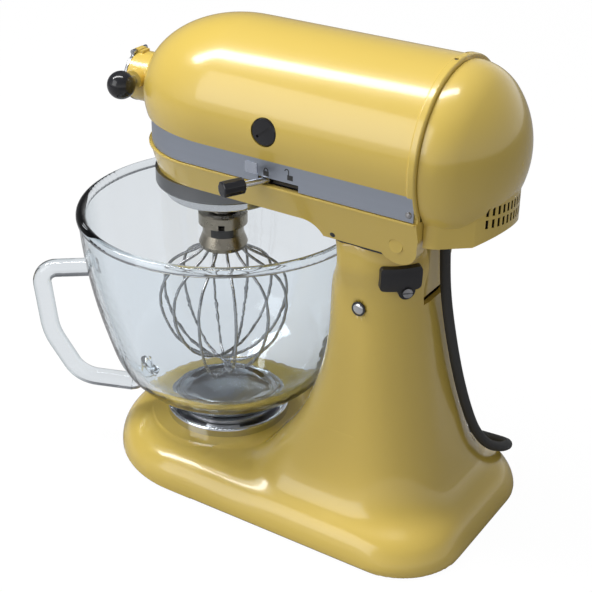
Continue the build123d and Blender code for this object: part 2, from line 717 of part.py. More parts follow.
def bowl_base():
    inner_r = BOWL_FOOT_R + 0.1
    top, floor = BOWL_CUP_HEIGHT, BOWL_CUP_FLOOR
    profile = [(0, 0), (BOWL_CUP_R, 0), (BOWL_CUP_R, top), (inner_r, top), (inner_r, floor), (0, floor)]
    cup = turned(profile, (0, 0, BOWL_BASE_Z))
    lug_z = BOWL_BASE_Z + 0.1
    for angle in BAYONET_ANGLES:
        cup += clamp_sector(BOWL_CUP_R - 1, LUG_R, lug_z, lug_z + LUG_HEIGHT, LUG_SPAN, angle)
    return cup


# Head castings

def case_loft(inset, low_z, high_z):
    """Tapered body of the lower gear case."""
    def plan(z):
        rise = (z - NECK_Z) / (PARTING_Z - NECK_Z)
        half = CASE_FOOT_HALF_WIDTH + rise * (CASE_HALF_WIDTH - CASE_FOOT_HALF_WIDTH)
        front = CASE_FOOT_FRONT + rise * (CASE_FRONT - CASE_FOOT_FRONT)
        return Pos(0, 0, z) * head_plan(half - inset, front - inset, CASE_REAR_Y - inset)
    return loft([plan(low_z), plan(high_z)], ruled=True)


def lower_gear_case():
    wheel = (WHEEL_X, WHEEL_Y)
    arch_y = NECK_FRONT_Y - ARCH_R
    arch_drop = ARM_Z - ARCH_R
    arch_end = arch_y + sqrt(ARCH_R ** 2 - (NECK_Z - arch_drop) ** 2)
    knuckle_y = HINGE_Y - sqrt(KNUCKLE_R ** 2 - (HINGE_Z - NECK_Z) ** 2)
    knuckle_rear = HINGE_Y + KNUCKLE_R
    lines = Polyline((HINGE_Y + KNUCKLE_R, HINGE_Z), (CASE_REAR_Y, HINGE_Z + 8), (CASE_REAR_Y, PARTING_Z),
                     (-70, PARTING_Z), (-70, ARM_Z), (arch_y, ARM_Z))
    lines += ThreePointArc((arch_y, ARM_Z), (arch_y + ARCH_R * 0.5, arch_drop + ARCH_R * sqrt(0.75)),
                           (arch_end, NECK_Z))
    lines += Line((arch_end, NECK_Z), (knuckle_y, NECK_Z))
    lines += ThreePointArc((knuckle_y, NECK_Z), (HINGE_Y + KNUCKLE_R * 0.2, HINGE_Z - KNUCKLE_R * sqrt(0.96)),
                           (knuckle_rear, HINGE_Z))
    body = case_loft(0, NECK_Z - 10, PARTING_Z) & side_profile(lines, 90)
    room = case_loft(CASE_WALL, NECK_Z - 10, PARTING_Z + 2)
    floor_z = NECK_FLOOR_Z + NECK_FLOOR_THICK
    body -= room & block((-80, -80, ARM_Z + CASE_WALL), (80, NECK_FRONT_Y - 4, PARTING_Z + 3))
    body -= room & block((-80, NECK_FRONT_Y - 5, floor_z), (80, CASE_REAR_Y + 3, PARTING_Z + 3))
    body -= block((-CHEEK_INNER, NECK_FRONT_Y + 4, NECK_Z - 15), (CHEEK_INNER, CASE_REAR_Y + 3, NECK_FLOOR_Z))
    for side in (-1, 1):
        boss_x = side * (EAR_OUTER + SIDE_CLEAR)
        body += rod((boss_x, HINGE_Y, HINGE_Z), (side * (CHEEK_INNER + 1), HINGE_Y, HINGE_Z), BOSS_R)
    body += block((-TONGUE_HALF_WIDTH, COLUMN_REAR_Y - TONGUE_THICK, TONGUE_Z),
                  (TONGUE_HALF_WIDTH, COLUMN_REAR_Y, NECK_FLOOR_Z + 1))
    body += rod((-TONGUE_HALF_WIDTH, HINGE_Y, HINGE_Z), (TONGUE_HALF_WIDTH, HINGE_Y, HINGE_Z), TONGUE_BOSS_R)
    body -= rod((0, GLAND_Y, TONGUE_Z), (0, GLAND_Y, NECK_FLOOR_Z), GLAND_R[0] + 0.4)
    body -= rod((-60, HINGE_Y, HINGE_Z), (60, HINGE_Y, HINGE_Z), PIN_R)
    body += Pos(0, 0, ARM_Z + 1) * Cylinder(BUSH_R + 5, BUSH_TOP_Z - ARM_Z - 1, align=BOTTOM)
    body -= Pos(0, 0, ARM_Z - 1) * Cylinder(BUSH_R, BUSH_TOP_Z - ARM_Z + 2, align=BOTTOM)
    body += Pos(*wheel, ARM_Z + 1) * Cylinder(WHEEL_SHAFT_R + 5, BUSH_TOP_Z - ARM_Z - 1, align=BOTTOM)
    body -= Pos(*wheel, WHEEL_SHAFT_Z - 0.5) * Cylinder(WHEEL_SHAFT_R + RUN_CLEAR, 20, align=BOTTOM)
    x, y = KEEPER
    body -= block((x - 4, y - 10, NECK_FLOOR_Z - 1), (x + 4, y + 7, floor_z + 1))
    body -= rod((0, GLAND_Y, NECK_FLOOR_Z - 1), (0, GLAND_Y, floor_z + 1), GLAND_NECK_R + 0.1)
    for x, y, low_z in CASE_SCREWS:
        for side in (x, -x):
            if low_z > NECK_Z:
                body += rod((side, y, low_z + 1), (side, y, PARTING_Z), CASE_SCREW_R + 3.4)
            body -= rod((side, y, low_z - 1), (side, y, PARTING_Z + 1), CASE_SCREW_R + 0.2)
            body -= rod((side, y, low_z - 1), (side, y, low_z + 3.2), CASE_SCREW_R + 1.6)
    return body


def case_screws():
    screws = []
    for x, y, low_z in CASE_SCREWS:
        for side in (x, -x):
            shank = rod((side, y, low_z + 2), (side, y, CASE_SCREW_TOP_Z), CASE_SCREW_R - 0.05)
            head = rod((side, y, low_z + 0.4), (side, y, low_z + 3.1), CASE_SCREW_R + 1.4)
            slot = block((side - 4, y - 0.4, low_z), (side + 4, y + 0.4, low_z + 1.4))
            screws.append(shank + head - slot)
    return bundle(screws)


def lever_notch(side, reach, x_range):
    """Slot that a lever slides along, cut through the skirt or the trim band."""
    low_x, high_x = sorted((side * x_range[0], side * x_range[1]))
    return block((low_x, reach[0], PARTING_Z - 1), (high_x, reach[1], LEVER_Z + LEVER_SLOT_TOP))


def motor_housing():
    skin = BAND_HALF_WIDTH - BAND_THICK - BAND_GAP
    front = BAND_FRONT - BAND_THICK - BAND_GAP
    shelf = BAND_TOP_Z + 0.3
    above = block((-90, -100, PARTING_Z), (90, 260, 400))
    outer = bullet(HEAD_R, NOSE_LENGTH, REAR_SEAM_Y)
    rim_edge = FilletPolyline((REAR_SEAM_Y - RIM_LENGTH, 50), (REAR_SEAM_Y - RIM_LENGTH, HEAD_R + RIM_RISE),
                              (REAR_SEAM_Y, HEAD_R + RIM_RISE), (REAR_SEAM_Y, 50), radius=1.5)
    outer += head_turned(rim_edge + Line((REAR_SEAM_Y, 50), (REAR_SEAM_Y - RIM_LENGTH, 50)))
    lower = extrude(Pos(0, 0, PARTING_Z) * head_plan(skin, front, REAR_SEAM_Y), shelf - PARTING_Z + 6)
    recess = block((-90, -100, 200), (90, BAND_REAR_Y + 1, shelf))
    outer = (outer & above) - recess
    below = block((-90, -100, 200), (90, 300, shelf))
    outer += lower & (bullet(HEAD_R + 1, NOSE_LENGTH + 1, REAR_SEAM_Y) + below)
    room = bullet(HEAD_R - HEAD_WALL, NOSE_LENGTH - HEAD_WALL, REAR_SEAM_Y + 1)
    room &= block((-90, -100, shelf + HEAD_WALL), (90, 260, 400))
    inner_plan = head_plan(skin - HEAD_WALL, front - HEAD_WALL, REAR_SEAM_Y + 1)
    room += extrude(Pos(0, 0, PARTING_Z - 1) * inner_plan, shelf - PARTING_Z + HEAD_WALL + 2)
    body = outer - room
    for side in (-1, 1):
        boss = rod((side * 48, BRUSH_Y, BRUSH_Z), (side * HEAD_R, BRUSH_Y, BRUSH_Z), BRUSH_BOSS_R)
        body += boss & bullet(HEAD_R, NOSE_LENGTH, REAR_SEAM_Y)
        body -= rod((side * 47, BRUSH_Y, BRUSH_Z), (side * 60, BRUSH_Y, BRUSH_Z), BRUSH_HOLDER_R + 0.1)
        body -= rod((side * BRUSH_SEAT_X, BRUSH_Y, BRUSH_Z), (side * 64, BRUSH_Y, BRUSH_Z), BRUSH_CAP_R + 0.3)
        for x, y, low_z in CASE_SCREWS:
            boss = rod((side * x, y, PARTING_Z), (side * x, y, CASE_SCREW_TOP_Z + 3), CASE_SCREW_R + 3)
            low_x, high_x = sorted((side * x, side * 52))
            boss += block((low_x, y - 3, PARTING_Z), (high_x, y + 3, CASE_SCREW_TOP_Z))
            body += boss
            body -= rod((side * x, y, PARTING_Z - 1), (side * x, y, CASE_SCREW_TOP_Z + 0.5), CASE_SCREW_R)
        screw_x = side * BAND_HALF_WIDTH
        body -= rod((screw_x - side * 6.5, TRIM_SCREW_Y, TRIM_SCREW_Z), (screw_x, TRIM_SCREW_Y, TRIM_SCREW_Z),
                    TRIM_SCREW_R)
    body += rod((0, HUB_FRONT_Y, HUB_Z), (0, HUB_BACK_Y, HUB_Z), HUB_R)
    body += rod((HUB_R - 4, KNOB_Y, KNOB_Z), (HUB_R + 4, KNOB_Y, KNOB_Z), KNOB_SCREW_R + 3.5)
    pin_y, pin_z = HUB_PIN
    body += block((-HUB_LUG_HALF, HUB_FRONT_Y, HUB_Z + HUB_R - 3), (HUB_LUG_HALF, HUB_FRONT_Y + 5, pin_z + 1))
    body += block((-HUB_LUG_HALF, pin_y - 0.5, pin_z - 1.6), (HUB_LUG_HALF, HUB_FRONT_Y + 2, pin_z + 1.6))
    body += rod((-HUB_LUG_HALF, pin_y, pin_z), (HUB_LUG_HALF, pin_y, pin_z), HUB_EAR_R)
    body -= rod((-20, pin_y, pin_z), (20, pin_y, pin_z), HUB_PIN_R)
    body -= rod((0, HUB_FRONT_Y - 1, HUB_Z), (0, HUB_FLOOR_Y, HUB_Z), HUB_BORE_R)
    body -= rod((0, HUB_FLOOR_Y - 1, HUB_Z), (0, HUB_BACK_Y + 1, HUB_Z), HUB_SHAFT_R + RUN_CLEAR)
    body -= rod((HUB_BORE_R - 4, KNOB_Y, KNOB_Z), (HUB_R + 6, KNOB_Y, KNOB_Z), KNOB_SCREW_R + RUN_CLEAR)
    body -= lever_notch(1, LOCK_SLOT_Y, (49, 58))
    body -= lever_notch(-1, SPEED_SLOT_Y, (49, 58))
    for angle in COVER_SCREW_ANGLES:
        turn = radians(angle)
        out = (sin(turn), 0, cos(turn))
        low = [c + 50 * o for c, o in zip((0, REAR_SEAM_Y - 3, HEAD_Z), out)]
        high = [c + 70 * o for c, o in zip((0, REAR_SEAM_Y - 3, HEAD_Z), out)]
        body -= rod(low, high, COVER_SCREW_R)
    return body


def cover_skirt(inset, drop):
    """Lower part of the end cover: flat flanks, a rounded rear and a bottom that turns up to the rear."""
    half = SKIRT_HALF_WIDTH - inset
    rear = SKIRT_REAR_Y - inset
    front = REAR_SEAM_Y + 0.3 - drop
    corner_x, corner_y = SKIRT_CORNER[0] - 0.6 * inset, SKIRT_CORNER[1] - 0.9 * inset
    side_y = SKIRT_SIDE_Y - 0.3 * inset
    left = Polyline((0, front), (-half, front), (-half, side_y), (-corner_x, corner_y))
    right = Polyline((corner_x, corner_y), (half, side_y), (half, front), (0, front))
    plan = left + ThreePointArc((-corner_x, corner_y), (0, rear), (corner_x, corner_y)) + right
    prism = extrude(Pos(0, 0, 200) * make_face(plan), 82)
    flanks = prism.edges().filter_by(Axis.Z).filter_by_position(Axis.Y, side_y - 1, side_y + 1)
    prism = fillet(flanks, 14.0 - inset)
    edge = [(y, z + inset) for y, z in SKIRT_BOTTOM]
    side = Polyline(*edge, (SKIRT_BOTTOM[-1][0], 274), (SKIRT_BOTTOM[0][0], 274), close=True)
    return prism & side_profile(side, 90)


def end_cover():
    seam = REAR_SEAM_Y + 0.3
    upper = block((-90, 150, SKIRT_TOP_Z), (90, 300, 400))
    outer = (dome(COVER_R, COVER_LENGTH, seam) & upper) + cover_skirt(0, 0)
    inner = dome(COVER_R - COVER_WALL, COVER_LENGTH - COVER_WALL, seam) & upper
    inner += cover_skirt(COVER_WALL, 3)
    body = outer - inner
    spigot = rod((0, REAR_SEAM_Y - SPIGOT_LENGTH, HEAD_Z), (0, seam, HEAD_Z), HEAD_R - HEAD_WALL - 0.3)
    bore = COVER_R - COVER_WALL - 2
    spigot -= rod((0, REAR_SEAM_Y - SPIGOT_LENGTH - 1, HEAD_Z), (0, seam + 5, HEAD_Z), bore)
    body += spigot & block((-90, 150, BAND_TOP_Z + 6), (90, 300, 400))
    for row_z in VENT_ROWS_Z:
        for i in range(VENT_COUNT):
            x = (i - (VENT_COUNT - 1) / 2) * VENT_PITCH
            low = (x - VENT_WIDTH / 2, 210, row_z - VENT_HEIGHT / 2)
            body -= block(low, (x + VENT_WIDTH / 2, 250, row_z + VENT_HEIGHT / 2))
    for angle in COVER_SCREW_ANGLES:
        turn = radians(angle)
        out = (sin(turn), 0, cos(turn))
        low = [c + 48 * o for c, o in zip((0, REAR_SEAM_Y - 3, HEAD_Z), out)]
        high = [c + 70 * o for c, o in zip((0, REAR_SEAM_Y - 3, HEAD_Z), out)]
        body -= rod(low, high, COVER_SCREW_R)
    return body


def end_cover_screws():
    screws = []
    for angle in COVER_SCREW_ANGLES:
        turn = radians(angle)
        out = Vector(sin(turn), 0, cos(turn))
        middle = Vector(0, REAR_SEAM_Y - 3, HEAD_Z)
        start, end = middle + out * 53.5, middle + out * (HEAD_R + RIM_RISE - 0.8)
        screw = rod(tuple(start), tuple(end), COVER_SCREW_R - 0.05)
        screws.append(screw - Plane(origin=end, z_dir=out) * Box(4, 0.6, 1.6))
    return bundle(screws)


def trim_band():
    height = BAND_HEIGHT
    inner_half = BAND_HALF_WIDTH - BAND_THICK
    inner_front = BAND_FRONT - BAND_THICK
    band = extrude(Pos(0, 0, BAND_Z) * head_plan(BAND_HALF_WIDTH, BAND_FRONT, BAND_REAR_Y), height)
    band -= extrude(Pos(0, 0, BAND_Z - 1) * head_plan(inner_half, inner_front, BAND_REAR_Y + 5), height + 2)
    band -= lever_notch(1, LOCK_SLOT_Y, (49, 58))
    band -= lever_notch(-1, SPEED_SLOT_Y, (49, 58))
    band -= rod((0, HUB_FRONT_Y, HUB_Z), (0, HUB_BACK_Y, HUB_Z), HUB_R + 0.3)
    band -= rod((-60, TRIM_SCREW_Y, TRIM_SCREW_Z), (60, TRIM_SCREW_Y, TRIM_SCREW_Z), TRIM_SCREW_R + 0.1)
    return band


def trim_screws():
    face = BAND_HALF_WIDTH
    shank = TRIM_SCREW_R - 0.05
    head = TRIM_SCREW_HEAD_R
    profile = [(0, 50 - face), (shank, 50 - face), (shank, 0), (head, 0), (head - 0.5, 1.0), (0, 1.4)]
    screws = []
    for side in (-1, 1):
        screw = turned(profile, (side * face, TRIM_SCREW_Y, TRIM_SCREW_Z), (side, 0, 0))
        screws.append(screw)
    return bundle(screws)


def brush_caps():
    caps = []
    for side in (-1, 1):
        cap = turned([(0, 0), (BRUSH_CAP_R, 0), (BRUSH_CAP_R, 2.6), (BRUSH_CAP_R - 1, 3.4), (0, 3.9)],
                     (side * (BRUSH_SEAT_X + 0.2), BRUSH_Y, BRUSH_Z), (side, 0, 0))
        face = Pos(side * (BRUSH_SEAT_X + 4.2), BRUSH_Y, BRUSH_Z) * Rot(BRUSH_SLOT_TURN, 0, 0)
        caps.append(cap - face * Box(3, 13, 1.8))
    return bundle(caps)


def brush_holders():
    tubes = []
    for side in (-1, 1):
        shell = rod((side * 16, BRUSH_Y, BRUSH_Z), (side * BRUSH_SEAT_X, BRUSH_Y, BRUSH_Z), BRUSH_HOLDER_R)
        tubes.append(shell - rod((side * 15, BRUSH_Y, BRUSH_Z), (side * 55, BRUSH_Y, BRUSH_Z), BRUSH_R + 0.1))
    return bundle(tubes)


def carbon_brushes():
    return bundle([rod((side * 13.4, BRUSH_Y, BRUSH_Z), (side * 32, BRUSH_Y, BRUSH_Z), BRUSH_R)
                   for side in (-1, 1)])


# Motor

def along_motor(start_y, end_y, radius):
    return rod((0, start_y, HEAD_Z), (0, end_y, HEAD_Z), radius)


def field_core():
    low_y, high_y = CORE_Y
    core = along_motor(low_y, high_y, FIELD_R)
    core += block((-FIELD_EAR_X, low_y, HEAD_Z - 10), (FIELD_EAR_X, high_y, HEAD_Z + 10))
    return core - along_motor(low_y - 1, high_y + 1, FIELD_BORE_R)


def field_coils():
    low_y, high_y = CORE_Y
    outer, inner = FIELD_R - 2, FIELD_BORE_R + 1.8
    return bundle([along_motor(start, start + 6, outer) - along_motor(start - 1, start + 7, inner)
                   for start in (low_y - 6, high_y)])


def bracket_disc(low_y, high_y):
    """Plate across the housing that carries a motor bearing."""
    shelf = BAND_TOP_Z + 0.3 + HEAD_WALL
    disc = along_motor(low_y, high_y, HEAD_R - HEAD_WALL - 0.3)
    keep = block((-90, 0, shelf), (90, 260, 400))
    keep += block((-50.5, 0, PARTING_Z + 0.3), (50.5, 260, shelf + 1))
    disc &= keep
    return disc - along_motor(low_y - 1, high_y + 1, ARMATURE_R + RUN_CLEAR)


def front_bearing_bracket():
    low_y, high_y = FRONT_BRACKET_Y
    low_z, high_z = TOP_BUSH_Z
    arm = block((WHEEL_X - 7, WHEEL_Y, low_z), (WHEEL_X + 7, low_y + 1, high_z))
    arm += rod((WHEEL_X, WHEEL_Y, low_z), (WHEEL_X, WHEEL_Y, high_z), WHEEL_SHAFT_R + 4)
    arm -= rod((WHEEL_X, WHEEL_Y, low_z - 1), (WHEEL_X, WHEEL_Y, high_z + 1), WHEEL_SHAFT_R + RUN_CLEAR)
    return bracket_disc(low_y, high_y) + arm


def rear_bearing_bracket():
    low_y, high_y = REAR_BRACKET_Y
    disc = bracket_disc(low_y, high_y)
    for i in range(6):
        turn = radians(60 * i + 30)
        x, z = 33 * sin(turn), HEAD_Z + 33 * cos(turn)
        disc -= rod((x, low_y - 1, z), (x, high_y + 1, z), 8 if z > HEAD_Z - 20 else 5)
    return disc


def control_plate():
    low_y = REAR_BRACKET_Y[1] + 2.5
    plate = block((-30, low_y, HEAD_Z - 22), (30, low_y + 2.5, HEAD_Z + 34))
    plate -= along_motor(low_y - 1, low_y + 5, ARMATURE_R + 3)
    for x in (-25, 25):
        for z in (HEAD_Z - 18, HEAD_Z + 29):
            plate += rod((x, REAR_BRACKET_Y[1], z), (x, low_y + 1, z), 2.5)
    return plate


def worm_thread():
    """Single-start right-hand thread about the motor axis, its crest facing the wheel at WHEEL_Y."""
    pitch = pi * GEAR_MODULE
    start_y = WHEEL_Y - WORM_LENGTH / 2 + 2
    height = WORM_LENGTH - 4
    path = Helix(pitch=pitch, height=height, radius=WORM_ROOT_R - 0.6)
    half_root, half_tip = 1.35, 0.42
    low, high = WORM_ROOT_R - 0.6, WORM_TIP_R
    corners = ((low, 0, -half_root), (high, 0, -half_tip), (high, 0, half_tip), (low, 0, half_root))
    section = make_face(Polyline(*corners, close=True))
    thread = sweep(section, path=path, is_frenet=True)
    quarter_turns = (WHEEL_Y - start_y) / pitch
    turn = 360 * (quarter_turns % 1)
    frame = Plane(origin=(0, start_y, HEAD_Z), x_dir=(1, 0, 0), z_dir=(0, 1, 0))
    return frame * (Rot(0, 0, -turn) * thread)


def armature_shaft():
    shaft = along_motor(WHEEL_Y - WORM_LENGTH / 2 - 2, SHAFT_REAR_Y, ARMATURE_R)
    core = along_motor(WHEEL_Y - WORM_LENGTH / 2, WHEEL_Y + WORM_LENGTH / 2, WORM_ROOT_R)
    return shaft + core + worm_thread()


def armature_core():
    low_y, high_y = CORE_Y
    core = along_motor(low_y, high_y, CORE_R) - along_motor(low_y - 1, high_y + 1, ARMATURE_R)
    for i in range(12):
        slot = Pos(0, 0, CORE_R) * Box(2.4, high_y - low_y + 2, 11)
        core -= Pos(0, (low_y + high_y) / 2, HEAD_Z) * Rot(0, 30 * i, 0) * slot
    return core


def commutator():
    low_y, high_y = CORE_Y[0] - 29, CORE_Y[0] - 5
    body = along_motor(low_y, high_y, COMMUTATOR_R) - along_motor(low_y - 1, high_y + 1, ARMATURE_R)
    for i in range(24):
        groove = Pos(0, 0, COMMUTATOR_R) * Box(0.7, high_y - low_y - 4, 2)
        body -= Pos(0, (low_y + high_y) / 2, HEAD_Z) * Rot(0, 15 * i, 0) * groove
    return body


def cooling_fan():
    low_y, high_y = CORE_Y[1] + 10, CORE_Y[1] + 22
    fan = along_motor(low_y, low_y + 2, FAN_R) + along_motor(low_y, high_y, ARMATURE_R + 5)
    for i in range(10):
        blade = Pos(0, (low_y + high_y) / 2, 20) * Rot(0, 0, 0) * Box(1.6, high_y - low_y, 26)
        fan += Pos(0, 0, HEAD_Z) * Rot(0, 36 * i, 0) * blade
    return fan - along_motor(low_y - 1, high_y + 1, ARMATURE_R)


# Gear train

def worm_wheel():
    twist = degrees((WHEEL_HEIGHT / 2) * tan(WORM_LEAD) / WHEEL_PITCH_R)
    rest = 180 + 180 / WORM_WHEEL_TEETH
    outline = spur_outline(WORM_WHEEL_TEETH, GEAR_MODULE, rest)
    low = Pos(0, 0, -WHEEL_HEIGHT / 2) * Rot(0, 0, -twist) * outline
    high = Pos(0, 0, WHEEL_HEIGHT / 2) * Rot(0, 0, twist) * outline
    wheel = loft([low, high], ruled=True)
    wheel -= Pos(0, 0, -20) * Cylinder(WHEEL_SHAFT_R, 40, align=BOTTOM)
    return Pos(WHEEL_X, WHEEL_Y, HEAD_Z) * wheel


def worm_wheel_shaft():
    shaft = rod((WHEEL_X, WHEEL_Y, WHEEL_SHAFT_Z), (WHEEL_X, WHEEL_Y, TOP_BUSH_Z[1] - 0.5), WHEEL_SHAFT_R)
    toward = degrees(atan2(WHEEL_Y, WHEEL_X))
    outline = spur_outline(PINION_TEETH, GEAR_MODULE, toward + 180 + 180 / PINION_TEETH)
    return shaft + Pos(WHEEL_X, WHEEL_Y, CENTRE_GEAR_Z) * extrude(outline, CENTRE_GEAR_HEIGHT)


def center_gear():
    toward = degrees(atan2(WHEEL_Y, WHEEL_X))
    outline = spur_outline(CENTRE_TEETH, GEAR_MODULE, toward)
    gear = Pos(0, 0, CENTRE_GEAR_Z) * extrude(outline, CENTRE_GEAR_HEIGHT)
    teeth, rim, neck = bevel_teeth(BEVEL_CENTRE_TEETH, BEVEL_HUB_TEETH, -90)
    gear += Pos(0, 0, HUB_Z) * teeth
    top = CENTRE_GEAR_Z + CENTRE_GEAR_HEIGHT
    gear += Pos(0, 0, top - 1) * Cylinder(BEVEL_STEM_R, HUB_Z + rim[1] - top + 2, align=BOTTOM)
    return gear - Pos(0, 0, 240) * Cylinder(CENTRE_SHAFT_R, 60, align=BOTTOM)


def hub_drive_shaft():
    teeth, rim, neck = bevel_teeth(BEVEL_HUB_TEETH, BEVEL_CENTRE_TEETH, 0)
    gap = 180 / BEVEL_HUB_TEETH
    gear = Plane(origin=(0, 0, HUB_Z), x_dir=(0, 0, -1), z_dir=(0, 1, 0)) * (Rot(0, 0, gap) * teeth)
    shaft = rod((0, rim[1] + 1, HUB_Z), (0, HUB_FLOOR_Y + 0.3, HUB_Z), HUB_SHAFT_R)
    half = HUB_SOCKET / 2
    socket = block((-half, HUB_FLOOR_Y - 2, HUB_Z - half), (half, HUB_FLOOR_Y + 13, HUB_Z + half))
    return gear + shaft - socket


def ring_gear():
    gear = Pos(0, 0, RING_Z) * Cylinder(RING_OUTER_R, ARM_Z - RING_Z, align=BOTTOM)
    space = ring_space(RING_TEETH, GEAR_MODULE, PLANET_ANGLE)
    return gear - Pos(0, 0, RING_Z - 1) * extrude(space, ARM_Z - RING_Z + 2)


def drip_ring():
    height = ARM_Z - DRIP_Z
    ring = Pos(0, 0, DRIP_Z) * Cylinder(DRIP_R, height, align=BOTTOM)
    ring = fillet(ring.edges().group_by(Axis.Z)[0], 2.0)
    return ring - Pos(0, 0, DRIP_Z - 1) * Cylinder(DRIP_BORE_R, height + 2, align=BOTTOM)


def center_shaft_bush():
    height = BUSH_TOP_Z - ARM_Z
    return Pos(0, 0, ARM_Z) * (Cylinder(BUSH_R, height, align=BOTTOM)
                               - Cylinder(CENTRE_SHAFT_R + RUN_CLEAR, height, align=BOTTOM))


def center_shaft():
    return Pos(0, 0, CARRIER_Z) * Cylinder(CENTRE_SHAFT_R, HUB_Z - 14 - CARRIER_Z, align=BOTTOM)


def planetary_carrier():
    disc = Pos(0, 0, CARRIER_Z) * Cylinder(CARRIER_R, CARRIER_HEIGHT, align=BOTTOM)
    disc = fillet(disc.edges().group_by(Axis.Z)[0], 3.0)
    disc += Pos(PLANET_X, PLANET_Y, CARRIER_Z - 4) * Cylinder(BEATER_R + 4.6, 6, align=BOTTOM)
    disc -= Pos(PLANET_X, PLANET_Y, CARRIER_Z - 6) * Cylinder(BEATER_R + RUN_CLEAR, 40, align=BOTTOM)
    return disc - Pos(0, 0, CARRIER_Z - 6) * Cylinder(CENTRE_SHAFT_R, 40, align=BOTTOM)


def beater_shaft():
    top = RING_Z + 0.3
    shaft = rod((PLANET_X, PLANET_Y, BEATER_END_Z), (PLANET_X, PLANET_Y, top), BEATER_R)
    shaft += rod((PLANET_X, PLANET_Y, top - 1), (PLANET_X, PLANET_Y, ARM_Z - 1.5), PINION_BORE_R)
    across = Vector(cos(radians(PLANET_ANGLE)), sin(radians(PLANET_ANGLE)), 0)
    middle = Vector(PLANET_X, PLANET_Y, DRIVE_PIN_Z)
    return shaft - rod(tuple(middle - across * 20), tuple(middle + across * 20), DRIVE_PIN_R)


def beater_pinion():
    outline = spur_outline(PLANET_TEETH, GEAR_MODULE, PLANET_ANGLE)
    low = RING_Z + 0.5
    gear = Pos(PLANET_X, PLANET_Y, low) * extrude(outline, ARM_Z - 1.5 - low)
    return gear - Pos(PLANET_X, PLANET_Y, low - 1) * Cylinder(PINION_BORE_R, 30, align=BOTTOM)


def beater_drive_pin():
    across = Vector(cos(radians(PLANET_ANGLE)), sin(radians(PLANET_ANGLE)), 0)
    middle = Vector(PLANET_X, PLANET_Y, DRIVE_PIN_Z)
    return rod(tuple(middle - across * PIN_REACH), tuple(middle + across * PIN_REACH), DRIVE_PIN_R - 0.05)


def whip_ferrule():
    """Collar, neck and cone of the whip, bored for the beater shaft and slotted for its cross pin."""
    low, high = FERRULE_Z, FERRULE_TOP_Z
    wide, neck = FERRULE_R, FERRULE_NECK_R
    profile = [(0, low), (wide - 1, low), (wide, low + 3), (neck, low + 11), (neck, high - 10.5),
               (wide, high - 9.5), (wide, high - 1), (wide - 1, high), (0, high)]
    body = Pos(PLANET_X, PLANET_Y, 0) * turned(profile)
    body -= Pos(PLANET_X, PLANET_Y, BEATER_END_Z - 1) * Cylinder(BEATER_R + 0.15, 40, align=BOTTOM)
    frame = Pos(PLANET_X, PLANET_Y, DRIVE_PIN_Z) * Rot(0, 0, PLANET_ANGLE)
    body -= frame * Box(60, 2 * DRIVE_PIN_R + 0.6, 2 * DRIVE_PIN_R + 3)
    return body


def whip_loop(i):
    """One wire of the whip, bent into a loop; each loop ends a step higher than the one before."""
    shrink = 1 - i * WHIP_SHRINK / WHIP_R
    bottom = WHIP_BOTTOM_Z + WIRE_R + i * WHIP_STEP
    waist = WHIP_WAIST_Z
    reach = (WHIP_R - WIRE_R) * shrink
    drop = waist - bottom
    half = [(WIRE_ROOT_R, FERRULE_Z + WIRE_SINK), (0.62 * reach, waist + 25), (0.93 * reach, waist + 11.5),
            (reach, waist - 4), (0.88 * reach, waist - 0.475 * drop), (0.53 * reach, waist - 0.848 * drop)]
    points = half + [(0, bottom)] + [(-r, z) for r, z in reversed(half)]
    path = Spline(*points, tangents=((0.35, -0.94), (0.35, 0.94)))
    upright = Plane(origin=(0, 0, 0), x_dir=(1, 0, 0), z_dir=(0, -1, 0))
    turn = Pos(PLANET_X, PLANET_Y, 0) * Rot(0, 0, 180 * i / WHIP_LOOPS + WHIP_TURN)
    return turn * tube(upright * path, WIRE_R)


def whip_wires():
    return bundle([whip_loop(i) for i in range(0, WHIP_LOOPS, 2)])


def whip_cross_wires():
    return bundle([whip_loop(i) for i in range(1, WHIP_LOOPS, 2)])


# Levers, hub cover and knobs

def hub_cover():
    pin_y, pin_z = HUB_PIN
    back = HUB_FRONT_Y - 0.3
    disc = rod((0, back, HUB_Z), (0, back - HUB_COVER_THICK, HUB_Z), HUB_R + 0.3)
    disc = fillet(disc.edges().group_by(Axis.Y)[0], 1.2)
    for low_x, high_x in ((HUB_LUG_HALF + 0.4, HUB_LUG_HALF + 4), (-HUB_LUG_HALF - 4, -HUB_LUG_HALF - 0.4)):
        disc += block((low_x, back - HUB_COVER_THICK, HUB_Z + 14), (high_x, back, pin_z))
        disc += rod((low_x, pin_y, pin_z), (high_x, pin_y, pin_z), HUB_EAR_R - 0.2)
    notch = HUB_LUG_HALF + 0.4
    disc -= rod((-notch, pin_y, pin_z), (notch, pin_y, pin_z), HUB_NOTCH_R)
    return disc - rod((-20, pin_y, pin_z), (20, pin_y, pin_z), HUB_PIN_R + RUN_CLEAR)


def hub_cover_pin():
    pin_y, pin_z = HUB_PIN
    return rod((-HUB_LUG_HALF - 4.4, pin_y, pin_z), (HUB_LUG_HALF + 4.4, pin_y, pin_z), HUB_PIN_R)


def attachment_screw():
    end_x = KNOB_X - KNOB_FLAT * KNOB_R + KNOB_SINK
    return rod((HUB_BORE_R + 0.3, KNOB_Y, KNOB_Z), (end_x, KNOB_Y, KNOB_Z), KNOB_SCREW_R)


def attachment_knob():
    flat_x = KNOB_X - KNOB_FLAT * KNOB_R
    reach = 2 * KNOB_R
    ball = Pos(KNOB_X, KNOB_Y, KNOB_Z) * Sphere(KNOB_R)
    ball &= block((flat_x, KNOB_Y - reach, KNOB_Z - reach), (KNOB_X + reach, KNOB_Y + reach, KNOB_Z + reach))
    return ball - rod((flat_x - 1, KNOB_Y, KNOB_Z), (flat_x + KNOB_SINK, KNOB_Y, KNOB_Z), KNOB_SCREW_R)


